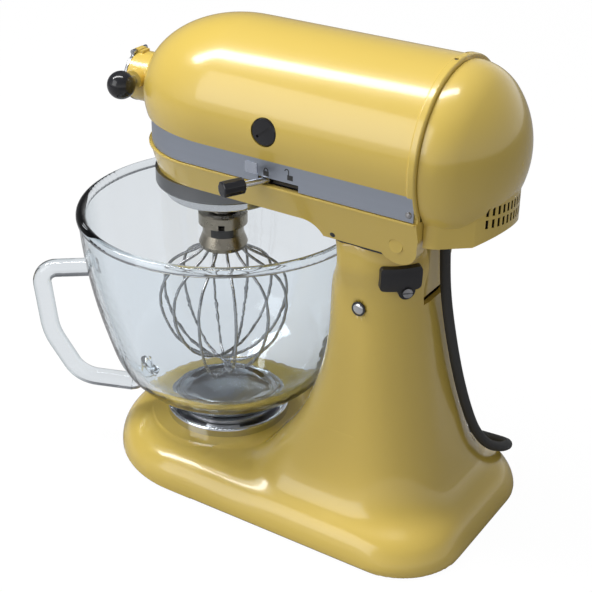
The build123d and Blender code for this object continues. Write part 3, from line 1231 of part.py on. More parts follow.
def lever_bar(side, reach):
    low_x, high_x = sorted((side * LEVER_BAR_X[0], side * LEVER_BAR_X[1]))
    half = LEVER_BAR_HEIGHT / 2
    return block((low_x, reach[0], LEVER_Z - half), (high_x, reach[1], LEVER_Z + half))


def barrel(start, along):
    """Grip knob with rounded ends, its stem end at start."""
    length, radius = LEVER_KNOB_LENGTH, LEVER_KNOB_R
    profile = [(0, 0), (radius - 2, 0), (radius - 0.6, 1), (radius, 3), (radius, length - 3),
               (radius - 0.7, length - 1), (radius - 2.2, length), (0, length)]
    return turned(profile, start, along)


def lock_line():
    start, end = Vector(*LOCK_ROOT, LEVER_Z), Vector(*LOCK_TIP, LEVER_Z)
    return start, end, (end - start).normalized()


def lock_lever():
    start, end, along = lock_line()
    bar = lever_bar(1, LOCK_BAR_Y)
    finger_y = LOCK_BAR_Y[1] - 6
    bar += block((KEEPER[0] - 2, finger_y, LEVER_Z - 3), (LEVER_BAR_X[0] + 1, finger_y + 6, LEVER_Z + 1))
    return bar + rod(tuple(start), tuple(end + along * 6), LEVER_ROD_R)


def lock_knob():
    start, end, along = lock_line()
    return barrel(tuple(end), tuple(along)) - rod(tuple(end - along), tuple(end + along * 6), LEVER_ROD_R)


def speed_lever():
    bar = lever_bar(-1, SPEED_BAR_Y)
    return bar + rod((-46, SPEED_Y, LEVER_Z), (-LEVER_OUT - 6, SPEED_Y, LEVER_Z), LEVER_ROD_R)


def speed_knob():
    grip = barrel((-LEVER_OUT, SPEED_Y, LEVER_Z), (-1, 0, 0))
    return grip - rod((-LEVER_OUT + 1, SPEED_Y, LEVER_Z), (-LEVER_OUT - 6, SPEED_Y, LEVER_Z), LEVER_ROD_R)


# Mains cord

def cord_gland():
    high, low = GLAND_Z
    profile = [(GLAND_BORE_R, low), (GLAND_R[1], low), (GLAND_R[0], high), (GLAND_NECK_R, high),
               (GLAND_NECK_R, high + NECK_FLOOR_THICK), (0, high + NECK_FLOOR_THICK), (0, low + 6),
               (GLAND_BORE_R, low + 6)]
    return turned(profile, (0, GLAND_Y, 0))


def power_cord():
    points = [Vector(*p) for p in CORD_ROUTE]
    bends = []
    for before, here, after in zip(points, points[1:], points[2:]):
        first, second = here - before, after - here
        turn = radians(first.get_angle(second))
        bends.append(0.45 * min(first.length, second.length) / tan(turn / 2))
    path = FilletPolyline(*CORD_ROUTE, radius=bends)
    print("cord radii mm", [round(bend, 1) for bend in bends], "cord length mm", round(path.length))
    return tube(path, CORD_R)


def coil_point(step):
    """Place and direction of the coil after a number of quarter turns: in, up one layer, and out again."""
    layer = 2 * CORD_R + COIL_GAP
    middle = COIL_QUARTERS / 2
    rate = layer / 4
    turn = radians(-90 * step)
    x0, y0 = CORD_ROUTE[-1][0] - COIL_R, CORD_ROUTE[-1][1]
    radius = COIL_R - rate * middle + rate * abs(step - middle)
    climb = min(1, max(0, (step - middle + 1) / 2))
    slope = layer / (radius * pi) if 0 < climb < 1 else 0
    place = Vector(x0 + radius * cos(turn), y0 + radius * sin(turn), CORD_R + COIL_LIFT + layer * climb)
    drift = rate / (radius * pi / 2) * (1 if step > middle else -1)
    if step in (0, middle, COIL_QUARTERS):
        drift = 0
    around = Vector(sin(turn), -cos(turn), 0) + Vector(cos(turn), sin(turn), 0) * drift
    return place, (around + Vector(0, 0, slope)).normalized()


def self_gap(path, radius):
    """Least free space between stretches of a tube that are not next to each other."""
    count = 400
    points = [path @ (i / count) for i in range(count + 1)]
    apart = int(8 * radius / (path.length / count)) + 1
    least = min((points[j] - points[i]).length for i in range(count) for j in range(i + apart, count + 1))
    return least - 2 * radius


def power_cord_coil():
    edges = []
    stops = [coil_point(step) for step in range(COIL_QUARTERS + 1)]
    for (start, first), (end, last) in zip(stops, stops[1:]):
        edges += biarc(start, first, end, last)
    last, forward = stops[-1]
    level = last + forward * COIL_RUN
    edges.append(Edge.make_line(last, level))
    straight = Vector(*COIL_END) + Vector(2 * CORD_R, 0, 0)
    edges += biarc(level, forward, straight, Vector(-1, 0, 0))
    edges.append(Edge.make_line(straight, Vector(*COIL_END)))
    path = Wire(edges)
    print("coil self gap mm", round(self_gap(path, CORD_R), 2), "coil length mm", round(path.length))
    return tube(path, CORD_R)


def cord_tie():
    """Strap round the bundle where the loops cross the side away from the mixer."""
    crossings = [coil_point(step)[0] for step in (2, 6, 10)]
    middle_y = crossings[0].Y
    reach = CORD_R + TIE_GAP
    low_x, high_x = min(p.X for p in crossings) - reach, max(p.X for p in crossings) + reach
    low_z, high_z = min(p.Z for p in crossings) - reach, max(p.Z for p in crossings) + reach
    half = TIE_LENGTH / 2
    outer = block((low_x - TIE_WALL, middle_y - half, low_z - TIE_WALL),
                  (high_x + TIE_WALL, middle_y + half, high_z + TIE_WALL))
    inner = block((low_x, middle_y - half - 1, low_z), (high_x, middle_y + half + 1, high_z))
    outer = fillet(outer.edges().filter_by(Axis.Y), reach - 0.5)
    return outer - fillet(inner.edges().filter_by(Axis.Y), reach - 1.5)


def plug_place():
    """The plug lies on the table beyond the coil and points away from the mixer."""
    return Pos(*COIL_END) * Rot(0, 0, 90)


def power_plug():
    width, length, height = PLUG_BODY
    body = block((-width / 2, 8, -height / 2), (width / 2, 8 + length, height / 2))
    body = fillet(body.edges().filter_by(Axis.Y), 7.0)
    body = fillet(body.edges().group_by(Axis.Y)[0], 4.0)
    neck = turned([(0, -3), (CORD_R + 1.4, -3), (CORD_R + 2.6, 10), (0, 10)], (0, 0, 0), (0, 1, 0))
    plug = body + neck - rod((0, -4, 0), (0, 0.5, 0), CORD_R + 0.1)
    for place in prong_places():
        plug -= place * Box(PRONG_SIZE[0], 2 * PRONG_SINK, PRONG_SIZE[2])
    return plug_place() * plug


def prong_places():
    return [Pos(side * PRONG_OUT, 8 + PLUG_BODY[1], 0) for side in (-1, 1)]


def plug_prongs():
    size_x, length, size_z = PRONG_SIZE
    whole = length + PRONG_SINK
    blades = [place * Pos(0, length - whole / 2, 0) * Box(size_x, whole, size_z) for place in prong_places()]
    return plug_place() * bundle(blades)


NODES = (
    pedestal, rubber_feet, bowl_clamp_plate, clamp_plate_screws, hinge_pin, side_plug,
    terminal_cover, terminal_cover_screw, neck_adjusting_screw, latch_keeper, power_cord,
    power_cord_coil, cord_tie, power_plug, plug_prongs, motor_housing, lower_gear_case, case_screws,
    end_cover, end_cover_screws, trim_band, trim_screws, brush_caps, brush_holders, carbon_brushes,
    field_core, field_coils, front_bearing_bracket, rear_bearing_bracket, ring_gear, drip_ring,
    center_shaft_bush, control_plate, cord_gland, hub_cover_pin, armature_shaft, armature_core,
    commutator, cooling_fan, worm_wheel, worm_wheel_shaft, planetary_carrier, center_shaft,
    center_gear, beater_shaft, beater_pinion, beater_drive_pin, whip_ferrule, whip_wires,
    whip_cross_wires, hub_drive_shaft, hub_cover, attachment_knob, attachment_screw, speed_lever,
    speed_knob, lock_lever, lock_knob, glass_bowl, bowl_base,
)


if __name__ == "__main__":
    os.makedirs("parts", exist_ok=True)
    for node in NODES:
        export_step(Pos(0, FRAME_Y, 0) * node(), f"parts/{node.__name__}.step")
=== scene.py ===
"""Tilt-head stand mixer: finishes, mains cord and small trim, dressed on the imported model."""
import math

import bmesh
import bpy
from bpy.props import FloatProperty, FloatVectorProperty, IntProperty, PointerProperty
from bpy.types import Operator, Panel, PropertyGroup
from mathutils import Matrix, Vector


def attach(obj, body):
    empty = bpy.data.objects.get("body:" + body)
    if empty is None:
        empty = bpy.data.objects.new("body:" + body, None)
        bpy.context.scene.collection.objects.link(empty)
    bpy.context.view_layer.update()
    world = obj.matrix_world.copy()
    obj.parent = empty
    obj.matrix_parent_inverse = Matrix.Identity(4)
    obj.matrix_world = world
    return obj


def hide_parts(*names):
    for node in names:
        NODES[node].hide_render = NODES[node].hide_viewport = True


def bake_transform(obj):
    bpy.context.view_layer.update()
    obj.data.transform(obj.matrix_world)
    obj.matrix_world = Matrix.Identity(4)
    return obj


bl_info = {
    "name": "Stand Mixer",
    "version": (1, 0, 0),
    "blender": (4, 5, 0),
    "location": "View3D > Sidebar > Mixer",
    "description": "Dresses a tilt-head stand mixer with its finishes, cord and trim",
    "category": "Object",
}

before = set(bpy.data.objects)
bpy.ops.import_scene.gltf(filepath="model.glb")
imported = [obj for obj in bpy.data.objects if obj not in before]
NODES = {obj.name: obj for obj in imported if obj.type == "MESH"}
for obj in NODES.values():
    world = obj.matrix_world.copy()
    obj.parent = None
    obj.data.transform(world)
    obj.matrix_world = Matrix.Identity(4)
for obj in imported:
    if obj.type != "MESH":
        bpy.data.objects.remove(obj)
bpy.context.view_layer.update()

# Sizes are in millimetres about the bowl axis, unless a comment says otherwise. That axis stands this far
# in front of the frame's origin, in metres
BOWL_AXIS_Y = -0.0535

# Mains cord's route, from the gland down to the table
CORD_ROUTE = (
    (0, 182.4, 224), (-0.5, 182.9, 204), (-2.5, 184.8, 178), (-6, 189, 148), (-11, 193.3, 119),
    (-18.5, 198, 90), (-28.5, 202.5, 64), (-41.5, 207.5, 45.5), (-57, 211.5, 35), (-73.5, 212, 27.5),
    (-88.5, 205.5, 19), (-99.5, 192.5, 11), (-105, 174.5, 6), (-106, 153.5, 4.75), (-105, 129, 4.75),
    (-102.5, 100.5, 4.75), (-101, 72, 4.75),
)
CORD_RADIUS = 3.75

# Coil, and the run from it to the plug
COIL_RADIUS = 46.0
COIL_GAP = 0.7
COIL_QUARTERS = 13
COIL_LIFT = 1.0
PLUG_END = (-206.0, 26.0, 11.5)
PLUG_LEAD = (34.0, 22.0, 11.0)
PLUG_LEAD_RISE = 0.6

# Camera fitted to the photograph
CAMERA_PLACE = (739.20, 535.11, 612.79)
CAMERA_RIGHT = (-0.54244, 0.84004, 0.01007)
CAMERA_UP = (-0.38966, -0.26220, 0.88284)
CAMERA_LENS = 81.33
CAMERA_SENSOR = 36.0

# Padlock marks on the face of the trim band: place, body, shackle's inner and outer radius, and its rise
BAND_FACE_X = 55.5
LOCK_MARKS = (("locked", 74.0, 268.2), ("unlocked", 93.1, 269.4))
LOCK_BODY = (4.4, 3.6)
SHACKLE = (1.1, 1.8)
SHACKLE_RISE = 0.6
OPEN_SHACKLE_RISE = 2.4
OPEN_SHACKLE_SHIFT = -2.6
MARK_THICK = 0.06

# Lever grips: piece, node, body, stem end and direction
GRIPS = (
    ("lock_grip", "lock_knob", "lock_control", (69.4, 65.2, 260.9), (0.899, -0.437, 0)),
    ("speed_grip", "speed_knob", "speed_control", (-67.5, 62.0, 260.9), (-1, 0, 0)),
)
GRIP_RADIUS = 5.9
GRIP_LENGTH = 16.5
GRIP_SIDES = 10
GRIP_END_ROUND = 1.6
GRIP_FLAT_ROUND = 0.5

# Sweep between column and foot: top and front of what is smoothed, lap over the rest, and grid
SWEEP_TOP = 82.0
SWEEP_START = 27.0
SWEEP_LAP = 4.0
SWEEP_GRID = 1.8
SWEEP_STEPS = 90

# Where the sweep fades in: heights, reach from the bowl axis, and distance behind it
SWEEP_LOW = (5.0, 15.0)
SWEEP_HIGH = (80.0, 60.0)
SWEEP_BOWL = (63.0, 76.0)
SWEEP_FRONT = (28.0, 50.0)

# Painted shade behind the vent slots, a dark sheet: middle, radius, half angle and height
VENT_MIDDLE = (0.0, 187.8)
VENT_RADIUS = 37.6
VENT_HALF_ANGLE = 46.0
VENT_HEIGHT = (250.6, 268.0)
VENT_SHADE_THICK = 0.6

# Inside of the vent slots, where the enamel is painted dark as shade: radius, top and front limit, with soft
# edges
SLOT_RADIUS = (41.3, 41.5)
SLOT_TOP = (268.0, 268.6)
SLOT_FRONT = (215.0, 216.0)
SLOT_SHADE_COLOUR = (0.020, 0.012, 0.005, 1)

# Openings in the neck of the whip's ferrule, one on each side, each with a dark sheet of painted shade in it
FERRULE_MIDDLE = (20.42, 12.61)
FERRULE_RADIUS = 15.05
FERRULE_FACING = 32.6
FERRULE_HALF_ANGLE = 33.0
FERRULE_HEIGHT = (194.6, 201.4)
FERRULE_SHADE_THICK = 0.2

# Dark strip round the top of the column, the painted shadow of the gap under the neck
NECK_SHADOW_HALF_WIDTH = 43.6
NECK_SHADOW_FRONT = 113.3
NECK_SHADOW_REAR = 158.0
NECK_SHADOW_CORNER = 16.0
NECK_SHADOW_HEIGHT = (224.8, 227.0)
NECK_SHADOW_THICK = 0.3

# Ledge of the gear case under the trim band
LEDGE_HALF_WIDTH = 56.5
LEDGE_NOSE = 63.0
LEDGE_NOSE_Y = 8.0
LEDGE_REAR = 186.5
LEDGE_HEIGHT = (256.5, 258.2)
LEDGE_THICK = 0.6
LEDGE_ROUND = 0.2

# Domed plug in the column's side, with a dark ring round it
PLUG_SEAT = (43.9, 142.0, 179.4)
PLUG_FACING = (1, 0, 0.06)
PLUG_RADIUS = 4.5
PLUG_RISE = 1.9
PLUG_RING_WIDTH = 0.7
PLUG_RING_THICK = 1.0
PLUG_RING_ROUND = 0.3
PLUG_SIDES = 40

# Small plate on the trim band, over the lock lever
PLATE_Y = (57.0, 67.0)
PLATE_Z = (264.2, 272.4)
PLATE_THICK = 0.5
PLATE_ROUND = 0.18

# Blind hole in each cheek of the neck, shown by a dark disc of painted shade
CHEEK_HOLE = (47.9, 122.2, 231.2)
CHEEK_SLOPE = (0.957, 0, -0.29)
CHEEK_HOLE_RADIUS = 2.0
CHEEK_HOLE_DEPTH = 0.5
CHEEK_HOLE_SUNK = 0.3
CHEEK_HOLE_ROUND = 0.2
CHEEK_HOLE_SIDES = 32

# Lower root of the bowl's handle: each ring's reach, height, radius and lean from upright in degrees
HANDLE_TURN = -57.2
HANDLE_ROOT = (
    (76.4, 50.1, 7.0, -8), (73.5, 51.0, 7.2, 10), (70.5, 53.8, 7.8, 28), (67.6, 57.6, 8.6, 41),
    (64.5, 62.1, 9.6, 48),
)
ROOT_SIDES = 40

# Thick glass of the handle: where it begins, from the bowl's axis, and how much painted shade it takes
HANDLE_REACH = (112.0, 118.0)
HANDLE_SHADE = 0.30
# Colour of the painted shade on the glass
GLASS_SHADE = (0.42, 0.50, 0.52, 1)

# Width of the trim band within which the levers are painted dark as the shade of their slots, with its soft
# edge
LEVER_BAND = (53.0, 54.5)

# Angles between faces, in degrees, past which an edge is sharp
SHARP_ANGLE = 35
ROOT_SHARP_ANGLE = 50

# Points nearer than these are one, when meshes are merged and when they are cut
MERGE = 1e-6
CUT_MERGE = 1e-7

# Sockets of a Mix node that mixes colours: first, second and result
MIX_FIRST = 6
MIX_SECOND = 7
MIX_RESULT = 2

# Metals: dark and light tone, lowest and highest roughness, and for a casting its grain's scale and depth
METALS = {
    "screw_steel": ((0.25, 0.25, 0.26, 1), (0.42, 0.42, 0.43, 1), 0.28, 0.42),
    "gear_steel": ((0.28, 0.28, 0.29, 1), (0.46, 0.46, 0.47, 1), 0.22, 0.36),
    "gear_bronze": ((0.38, 0.24, 0.07, 1), (0.55, 0.37, 0.12, 1), 0.25, 0.40),
    "bracket_alloy": ((0.34, 0.34, 0.35, 1), (0.52, 0.52, 0.53, 1), 0.45, 0.60, 250.0, 0.0006),
    "prong_brass": ((0.60, 0.42, 0.14, 1), (0.76, 0.56, 0.22, 1), 0.14, 0.24),
    "bright_plate": ((0.50, 0.54, 0.62, 1), (0.58, 0.62, 0.70, 1), 0.16, 0.24),
    "worn_ferrule": ((0.22, 0.20, 0.16, 1), (0.32, 0.29, 0.24, 1), 0.24, 0.36),
}

# Studio, in metres: floor, walls that fade upwards, and a dark curtain that metal and glass reflect
FLOOR_SIZE = 6.0
FLOOR_COLOUR = (0.42, 0.42, 0.43, 1)
FLOOR_GLOW = 1.05
FLOOR_SEEN = 0.93
FLOOR_THROUGH_GLASS = 0.55
WHITE = (1, 1, 1, 1)
WALL_TOP = (0.30, 0.31, 0.33, 1)
WALL_FADE = (0.02, 0.55)
CURTAIN = (0.22, 0.22, 0.23, 1)
CURTAIN_SIDE = (-0.35, -0.94, 0.0)
CURTAIN_FADE = (0.45, 0.80)

# Lamps: place, target and size in metres
STRIP_LIGHT = ((0.25, -0.55, 1.75), (0.0, 0.05, 0.3), (0.28, 2.0))
FILL_LIGHT = ((1.9, -0.9, 1.2), (0.0, 0.0, 0.15), (1.4, 1.4))


def colour(name, description, value):
    """Colour property with its default."""
    return FloatVectorProperty(name=name, description=description, subtype="COLOR", size=4, min=0, max=1,
                               default=(*value, 1))


class MixerColours(PropertyGroup):
    enamel: colour("Enamel", "Colour of the painted castings", (0.69, 0.500, 0.100))
    enamel_light: colour("Enamel light", "Lighter tone of the enamel", (0.70, 0.510, 0.106))
    trim: colour("Trim", "Colour of the satin trim band", (0.44, 0.48, 0.55))
    bright: colour("Bright metal", "Colour of chrome and polished steel", (0.64, 0.65, 0.67))
    knob: colour("Knob", "Colour of the black mouldings", (0.010, 0.010, 0.012))
    glass: colour("Glass", "Tint of the bowl's glass", (0.91, 0.955, 0.99))


class MixerCord(PropertyGroup):
    diameter: FloatProperty(name="Diameter", description="Thickness of the mains cord", unit="LENGTH",
                            default=2 * CORD_RADIUS / 1000, min=0.004, max=0.012)
    turn_points: IntProperty(name="Points per turn", description="Control points in one turn of the coil",
                             default=16, min=12, max=32)


class MixerStage(PropertyGroup):
    strip_power: FloatProperty(name="Strip light", description="Power of the long light over the head",
                               unit="POWER", default=30.0, min=0)
    fill_power: FloatProperty(name="Fill light", description="Power of the soft light at the front",
                              unit="POWER", default=15.0, min=0)
    sky: FloatProperty(name="Room light", description="Strength of the even light from all round",
                       default=0.34, min=0)
    lens: FloatProperty(name="Lens", description="Focal length of the camera", unit="CAMERA",
                        default=CAMERA_LENS, min=20)


def place(x, y, z):
    """Point in metres in the model's frame, from millimetres about the bowl axis."""
    return Vector((x / 1000, y / 1000 + BOWL_AXIS_Y, z / 1000))


def metres(sizes):
    return [size / 1000 for size in sizes]


def add_node(tree, kind, inputs=None, **settings):
    """New node in a tree, with its settings and the values of its input sockets."""
    node = tree.nodes.new(kind)
    for key, value in settings.items():
        setattr(node, key, value)
    for key, value in (inputs or {}).items():
        node.inputs[key].default_value = value
    return node


def two_tones(tree, first, second, stops):
    """Colour ramp from one colour at the first stop to another at the second."""
    node = add_node(tree, "ShaderNodeValToRGB")
    for element, tone, stop in zip(node.color_ramp.elements, (first, second), stops):
        element.position = stop
        element.color = tone
    return node


class Finish:
    """Node material of one finish, with helpers that add its noise, grain and bump."""

    def __init__(self, name):
        self.material = bpy.data.materials.new(name)
        self.material.use_nodes = True
        self.tree = self.material.node_tree
        self.shader = self.tree.nodes["Principled BSDF"]
        self.coordinates = self.add("ShaderNodeTexCoord").outputs["Object"]

    def add(self, kind, inputs=None, **settings):
        return add_node(self.tree, kind, inputs, **settings)

    def link(self, source, target):
        self.tree.links.new(source, target)

    def set(self, **values):
        for key, value in values.items():
            self.shader.inputs[key.replace("_", " ")].default_value = value

    def mapped(self, scale=(1, 1, 1), centre=(0, 0, 0)):
        stretch = [1 / factor for factor in scale]
        node = self.add("ShaderNodeMapping", {"Location": centre, "Scale": stretch}, vector_type="TEXTURE")
        self.link(self.coordinates, node.inputs["Vector"])
        return node.outputs["Vector"]

    def noise(self, scale, detail=2.0, vector=None):
        node = self.add("ShaderNodeTexNoise", {"Scale": scale, "Detail": detail})
        self.link(vector or self.coordinates, node.inputs["Vector"])
        return node.outputs["Fac"]

    def wave(self, scale, vector=None, distortion=0.0, **settings):
        node = self.add("ShaderNodeTexWave", {"Scale": scale, "Distortion": distortion}, **settings)
        self.link(vector or self.coordinates, node.inputs["Vector"])
        return node.outputs["Fac"]

    def spread(self, value, low, high, start=0.3, end=0.7):
        limits = {"From Min": start, "From Max": end, "To Min": low, "To Max": high}
        node = self.add("ShaderNodeMapRange", limits)
        self.link(value, node.inputs["Value"])
        return node.outputs["Result"]

    def tint(self, value, dark, light, start=0.3, end=0.7):
        node = two_tones(self.tree, dark, light, (start, end))
        self.link(value, node.inputs["Fac"])
        self.link(node.outputs["Color"], self.shader.inputs["Base Color"])
        return node

    def combine(self, operation, first, second):
        node = self.add("ShaderNodeMath", operation=operation)
        self.link(first, node.inputs[0])
        self.link(second, node.inputs[1])
        return node.outputs["Value"]

    def rough(self, value, low, high):
        self.link(self.spread(value, low, high), self.shader.inputs["Roughness"])

    def relief(self, height, strength, distance):
        node = self.add("ShaderNodeBump", {"Strength": strength, "Distance": distance})
        self.link(height, node.inputs["Height"])
        before = self.shader.inputs["Normal"].links
        if before:
            self.link(before[0].from_socket, node.inputs["Normal"])
        self.link(node.outputs["Normal"], self.shader.inputs["Normal"])


def shade(tone, factor):
    return (tone[0] * factor, tone[1] * factor, tone[2] * factor, 1)


def enamel(name, colours):
    """Glossy paint over a casting, and the node that carries its colour."""
    made = Finish(name)
    paint = made.tint(made.noise(3.0, 1.0), colours.enamel, colours.enamel_light)
    made.rough(made.noise(40.0, 2.0), 0.24, 0.27)
    made.set(Coat_Weight=0.6, Coat_Roughness=0.09, Coat_IOR=1.5)
    return made, paint


def butter_enamel(colours):
    return enamel("butter_enamel", colours)[0].material


def vented_enamel(colours):
    """Enamel with painted shade inside the vent slots of the rear cover."""
    made, paint = enamel("vented_enamel", colours)
    axes = made.add("ShaderNodeSeparateXYZ")
    plan = made.add("ShaderNodeCombineXYZ")
    reach = made.add("ShaderNodeVectorMath", {1: place(*VENT_MIDDLE, 0)}, operation="DISTANCE")
    made.link(made.coordinates, axes.inputs["Vector"])
    made.link(axes.outputs["X"], plan.inputs["X"])
    made.link(axes.outputs["Y"], plan.inputs["Y"])
    made.link(plan.outputs["Vector"], reach.inputs[0])
    rear = [limit + BOWL_AXIS_Y for limit in metres(SLOT_FRONT)]
    inside = made.spread(reach.outputs["Value"], 1, 0, *metres(SLOT_RADIUS))
    below = made.spread(axes.outputs["Z"], 1, 0, *metres(SLOT_TOP))
    behind = made.spread(axes.outputs["Y"], 0, 1, *rear)
    slot_shade = made.combine("MULTIPLY", made.combine("MULTIPLY", inside, below), behind)
    # Painted shade on the walls of the vent slots
    dark = made.add("ShaderNodeMix", data_type="RGBA")
    dark.inputs[MIX_SECOND].default_value = SLOT_SHADE_COLOUR
    made.link(slot_shade, dark.inputs["Factor"])
    made.link(paint.outputs["Color"], dark.inputs[MIX_FIRST])
    made.link(dark.outputs[MIX_RESULT], made.shader.inputs["Base Color"])
    return made.material


def satin_trim(colours):
    made = Finish("satin_trim")
    grain = made.noise(60.0, 4.0, made.mapped(scale=(1, 0.02, 1)))
    made.tint(grain, shade(colours.trim, 0.86), colours.trim)
    made.rough(grain, 0.26, 0.38)
    made.relief(grain, 0.10, 0.0002)
    made.set(Metallic=1.0, Anisotropic=0.4)
    return made.material


def mirror_chrome(colours):
    made = Finish("mirror_chrome")
    smudge = made.noise(40.0, 5.0)
    made.tint(smudge, shade(colours.bright, 0.94), colours.bright)
    made.rough(smudge, 0.05, 0.12)
    made.set(Metallic=1.0)
    return made.material


def turned_steel(colours):
    made = Finish("turned_steel")
    rings = made.wave(900.0, bands_direction="Z", distortion=0.4)
    made.tint(made.noise(25.0, 3.0), shade(colours.bright, 0.72), shade(colours.bright, 0.86))
    made.rough(rings, 0.16, 0.24)
    made.relief(rings, 0.06, 0.0002)
    made.set(Metallic=1.0)
    return made.material


def spun_metal(name, colours, centre, factor, low, high):
    """Metal with the faint rings of spinning about an upright axis."""
    made = Finish(name)
    about = made.mapped(centre=centre)
    rings = made.wave(300.0, about, 0.6, wave_type="RINGS", rings_direction="Z")
    cloud = made.noise(18.0, 4.0, about)
    made.tint(cloud, shade(colours.bright, factor * 0.9), shade(colours.bright, factor))
    made.rough(rings, low, high)
    made.relief(rings, 0.08, 0.0002)
    made.set(Metallic=1.0)
    return made.material


def whip_wire(colours):
    made = Finish("whip_wire")
    drawn = made.noise(400.0, 2.0, made.mapped(scale=(1, 1, 0.1)))
    made.tint(drawn, shade(colours.bright, 0.42), shade(colours.bright, 0.58))
    made.rough(drawn, 0.18, 0.32)
    made.set(Metallic=1.0)
    return made.material


def machine_metal(name, dark, light, low, high, scale=120.0, depth=0.0002):
    """Plain machined or cast metal with a fine tooth."""
    made = Finish(name)
    tooth = made.noise(scale, 5.0)
    made.tint(tooth, dark, light)
    made.rough(tooth, low, high)
    made.relief(tooth, 0.15, depth)
    made.set(Metallic=1.0)
    return made.material


def lamination_steel():
    made = Finish("lamination_steel")
    sheets = made.wave(320.0, bands_direction="Y")
    made.tint(sheets, (0.09, 0.09, 0.10, 1), (0.24, 0.24, 0.25, 1))
    made.rough(made.noise(90.0, 3.0), 0.40, 0.55)
    made.relief(sheets, 0.30, 0.0003)
    made.set(Metallic=1.0)
    return made.material


def wound_copper():
    made = Finish("wound_copper")
    strands = made.wave(500.0, bands_direction="X", distortion=0.6)
    made.tint(strands, (0.30, 0.10, 0.03, 1), (0.62, 0.28, 0.11, 1))
    made.rough(made.noise(80.0, 3.0), 0.28, 0.40)
    made.relief(strands, 0.40, 0.0004)
    made.set(Metallic=1.0)
    return made.material


def black_plastic(name, colours, low, high, tooth, depth):
    """Black moulding: glossy on the knobs, finely textured on covers and plugs."""
    made = Finish(name)
    made.tint(made.noise(30.0, 3.0), colours.knob, shade(colours.knob, 1.9))
    made.rough(made.noise(90.0, 4.0), low, high)
    made.relief(made.noise(tooth, 2.0), 0.15, depth)
    made.set(Specular_IOR_Level=0.5)
    return made.material


def cord_rubber():
    made = Finish("cord_rubber")
    made.tint(made.noise(45.0, 3.0), (0.006, 0.006, 0.008, 1), (0.014, 0.014, 0.017, 1))
    made.rough(made.noise(200.0, 3.0), 0.36, 0.50)
    made.relief(made.noise(900.0, 2.0), 0.12, 0.0002)
    return made.material


def clear_glass(colours):
    """Clear in the wall of the bowl, with painted shade towards its edges as seen and in the thick handle.
    """
    made = Finish("clear_glass")
    edge = made.add("ShaderNodeLayerWeight")
    about = made.add("ShaderNodeVectorMath", {1: (0, BOWL_AXIS_Y, 0)}, operation="SUBTRACT")
    flat = made.add("ShaderNodeVectorMath", {1: (1, 1, 0)}, operation="MULTIPLY")
    reach = made.add("ShaderNodeVectorMath", operation="LENGTH")
    made.link(made.coordinates, about.inputs[0])
    made.link(about.outputs["Vector"], flat.inputs[0])
    made.link(flat.outputs["Vector"], reach.inputs[0])
    handle = made.spread(reach.outputs["Value"], 0, HANDLE_SHADE, *metres(HANDLE_REACH))
    glass_shade = made.combine("ADD", edge.outputs["Facing"], handle)
    made.tint(glass_shade, colours.glass, GLASS_SHADE, 0.55, 1.0)
    made.relief(made.noise(22.0, 1.0), 0.06, 0.002)
    made.set(Transmission_Weight=1.0, Roughness=0.0, IOR=1.48)
    return made.material


def lever_steel(colours):
    """Bright stems outside the trim band, painted dark within it as the shade of the slots."""
    made = Finish("lever_steel")
    axes = made.add("ShaderNodeSeparateXYZ")
    reach = made.add("ShaderNodeMath", operation="ABSOLUTE")
    made.link(made.coordinates, axes.inputs["Vector"])
    made.link(axes.outputs["X"], reach.inputs[0])
    outside = made.spread(reach.outputs["Value"], 0, 1, *metres(LEVER_BAND))
    # Painted shade: the levers turn dark where they pass through the slots
    made.tint(outside, colours.knob, colours.bright, 0, 1)
    made.link(outside, made.shader.inputs["Metallic"])
    made.rough(made.noise(60.0, 3.0), 0.14, 0.22)
    return made.material


def carbon_block():
    made = Finish("carbon_block")
    grain = made.noise(500.0, 4.0)
    made.tint(grain, (0.012, 0.012, 0.013, 1), (0.035, 0.035, 0.036, 1))
    made.rough(grain, 0.50, 0.70)
    made.relief(grain, 0.3, 0.0002)
    return made.material


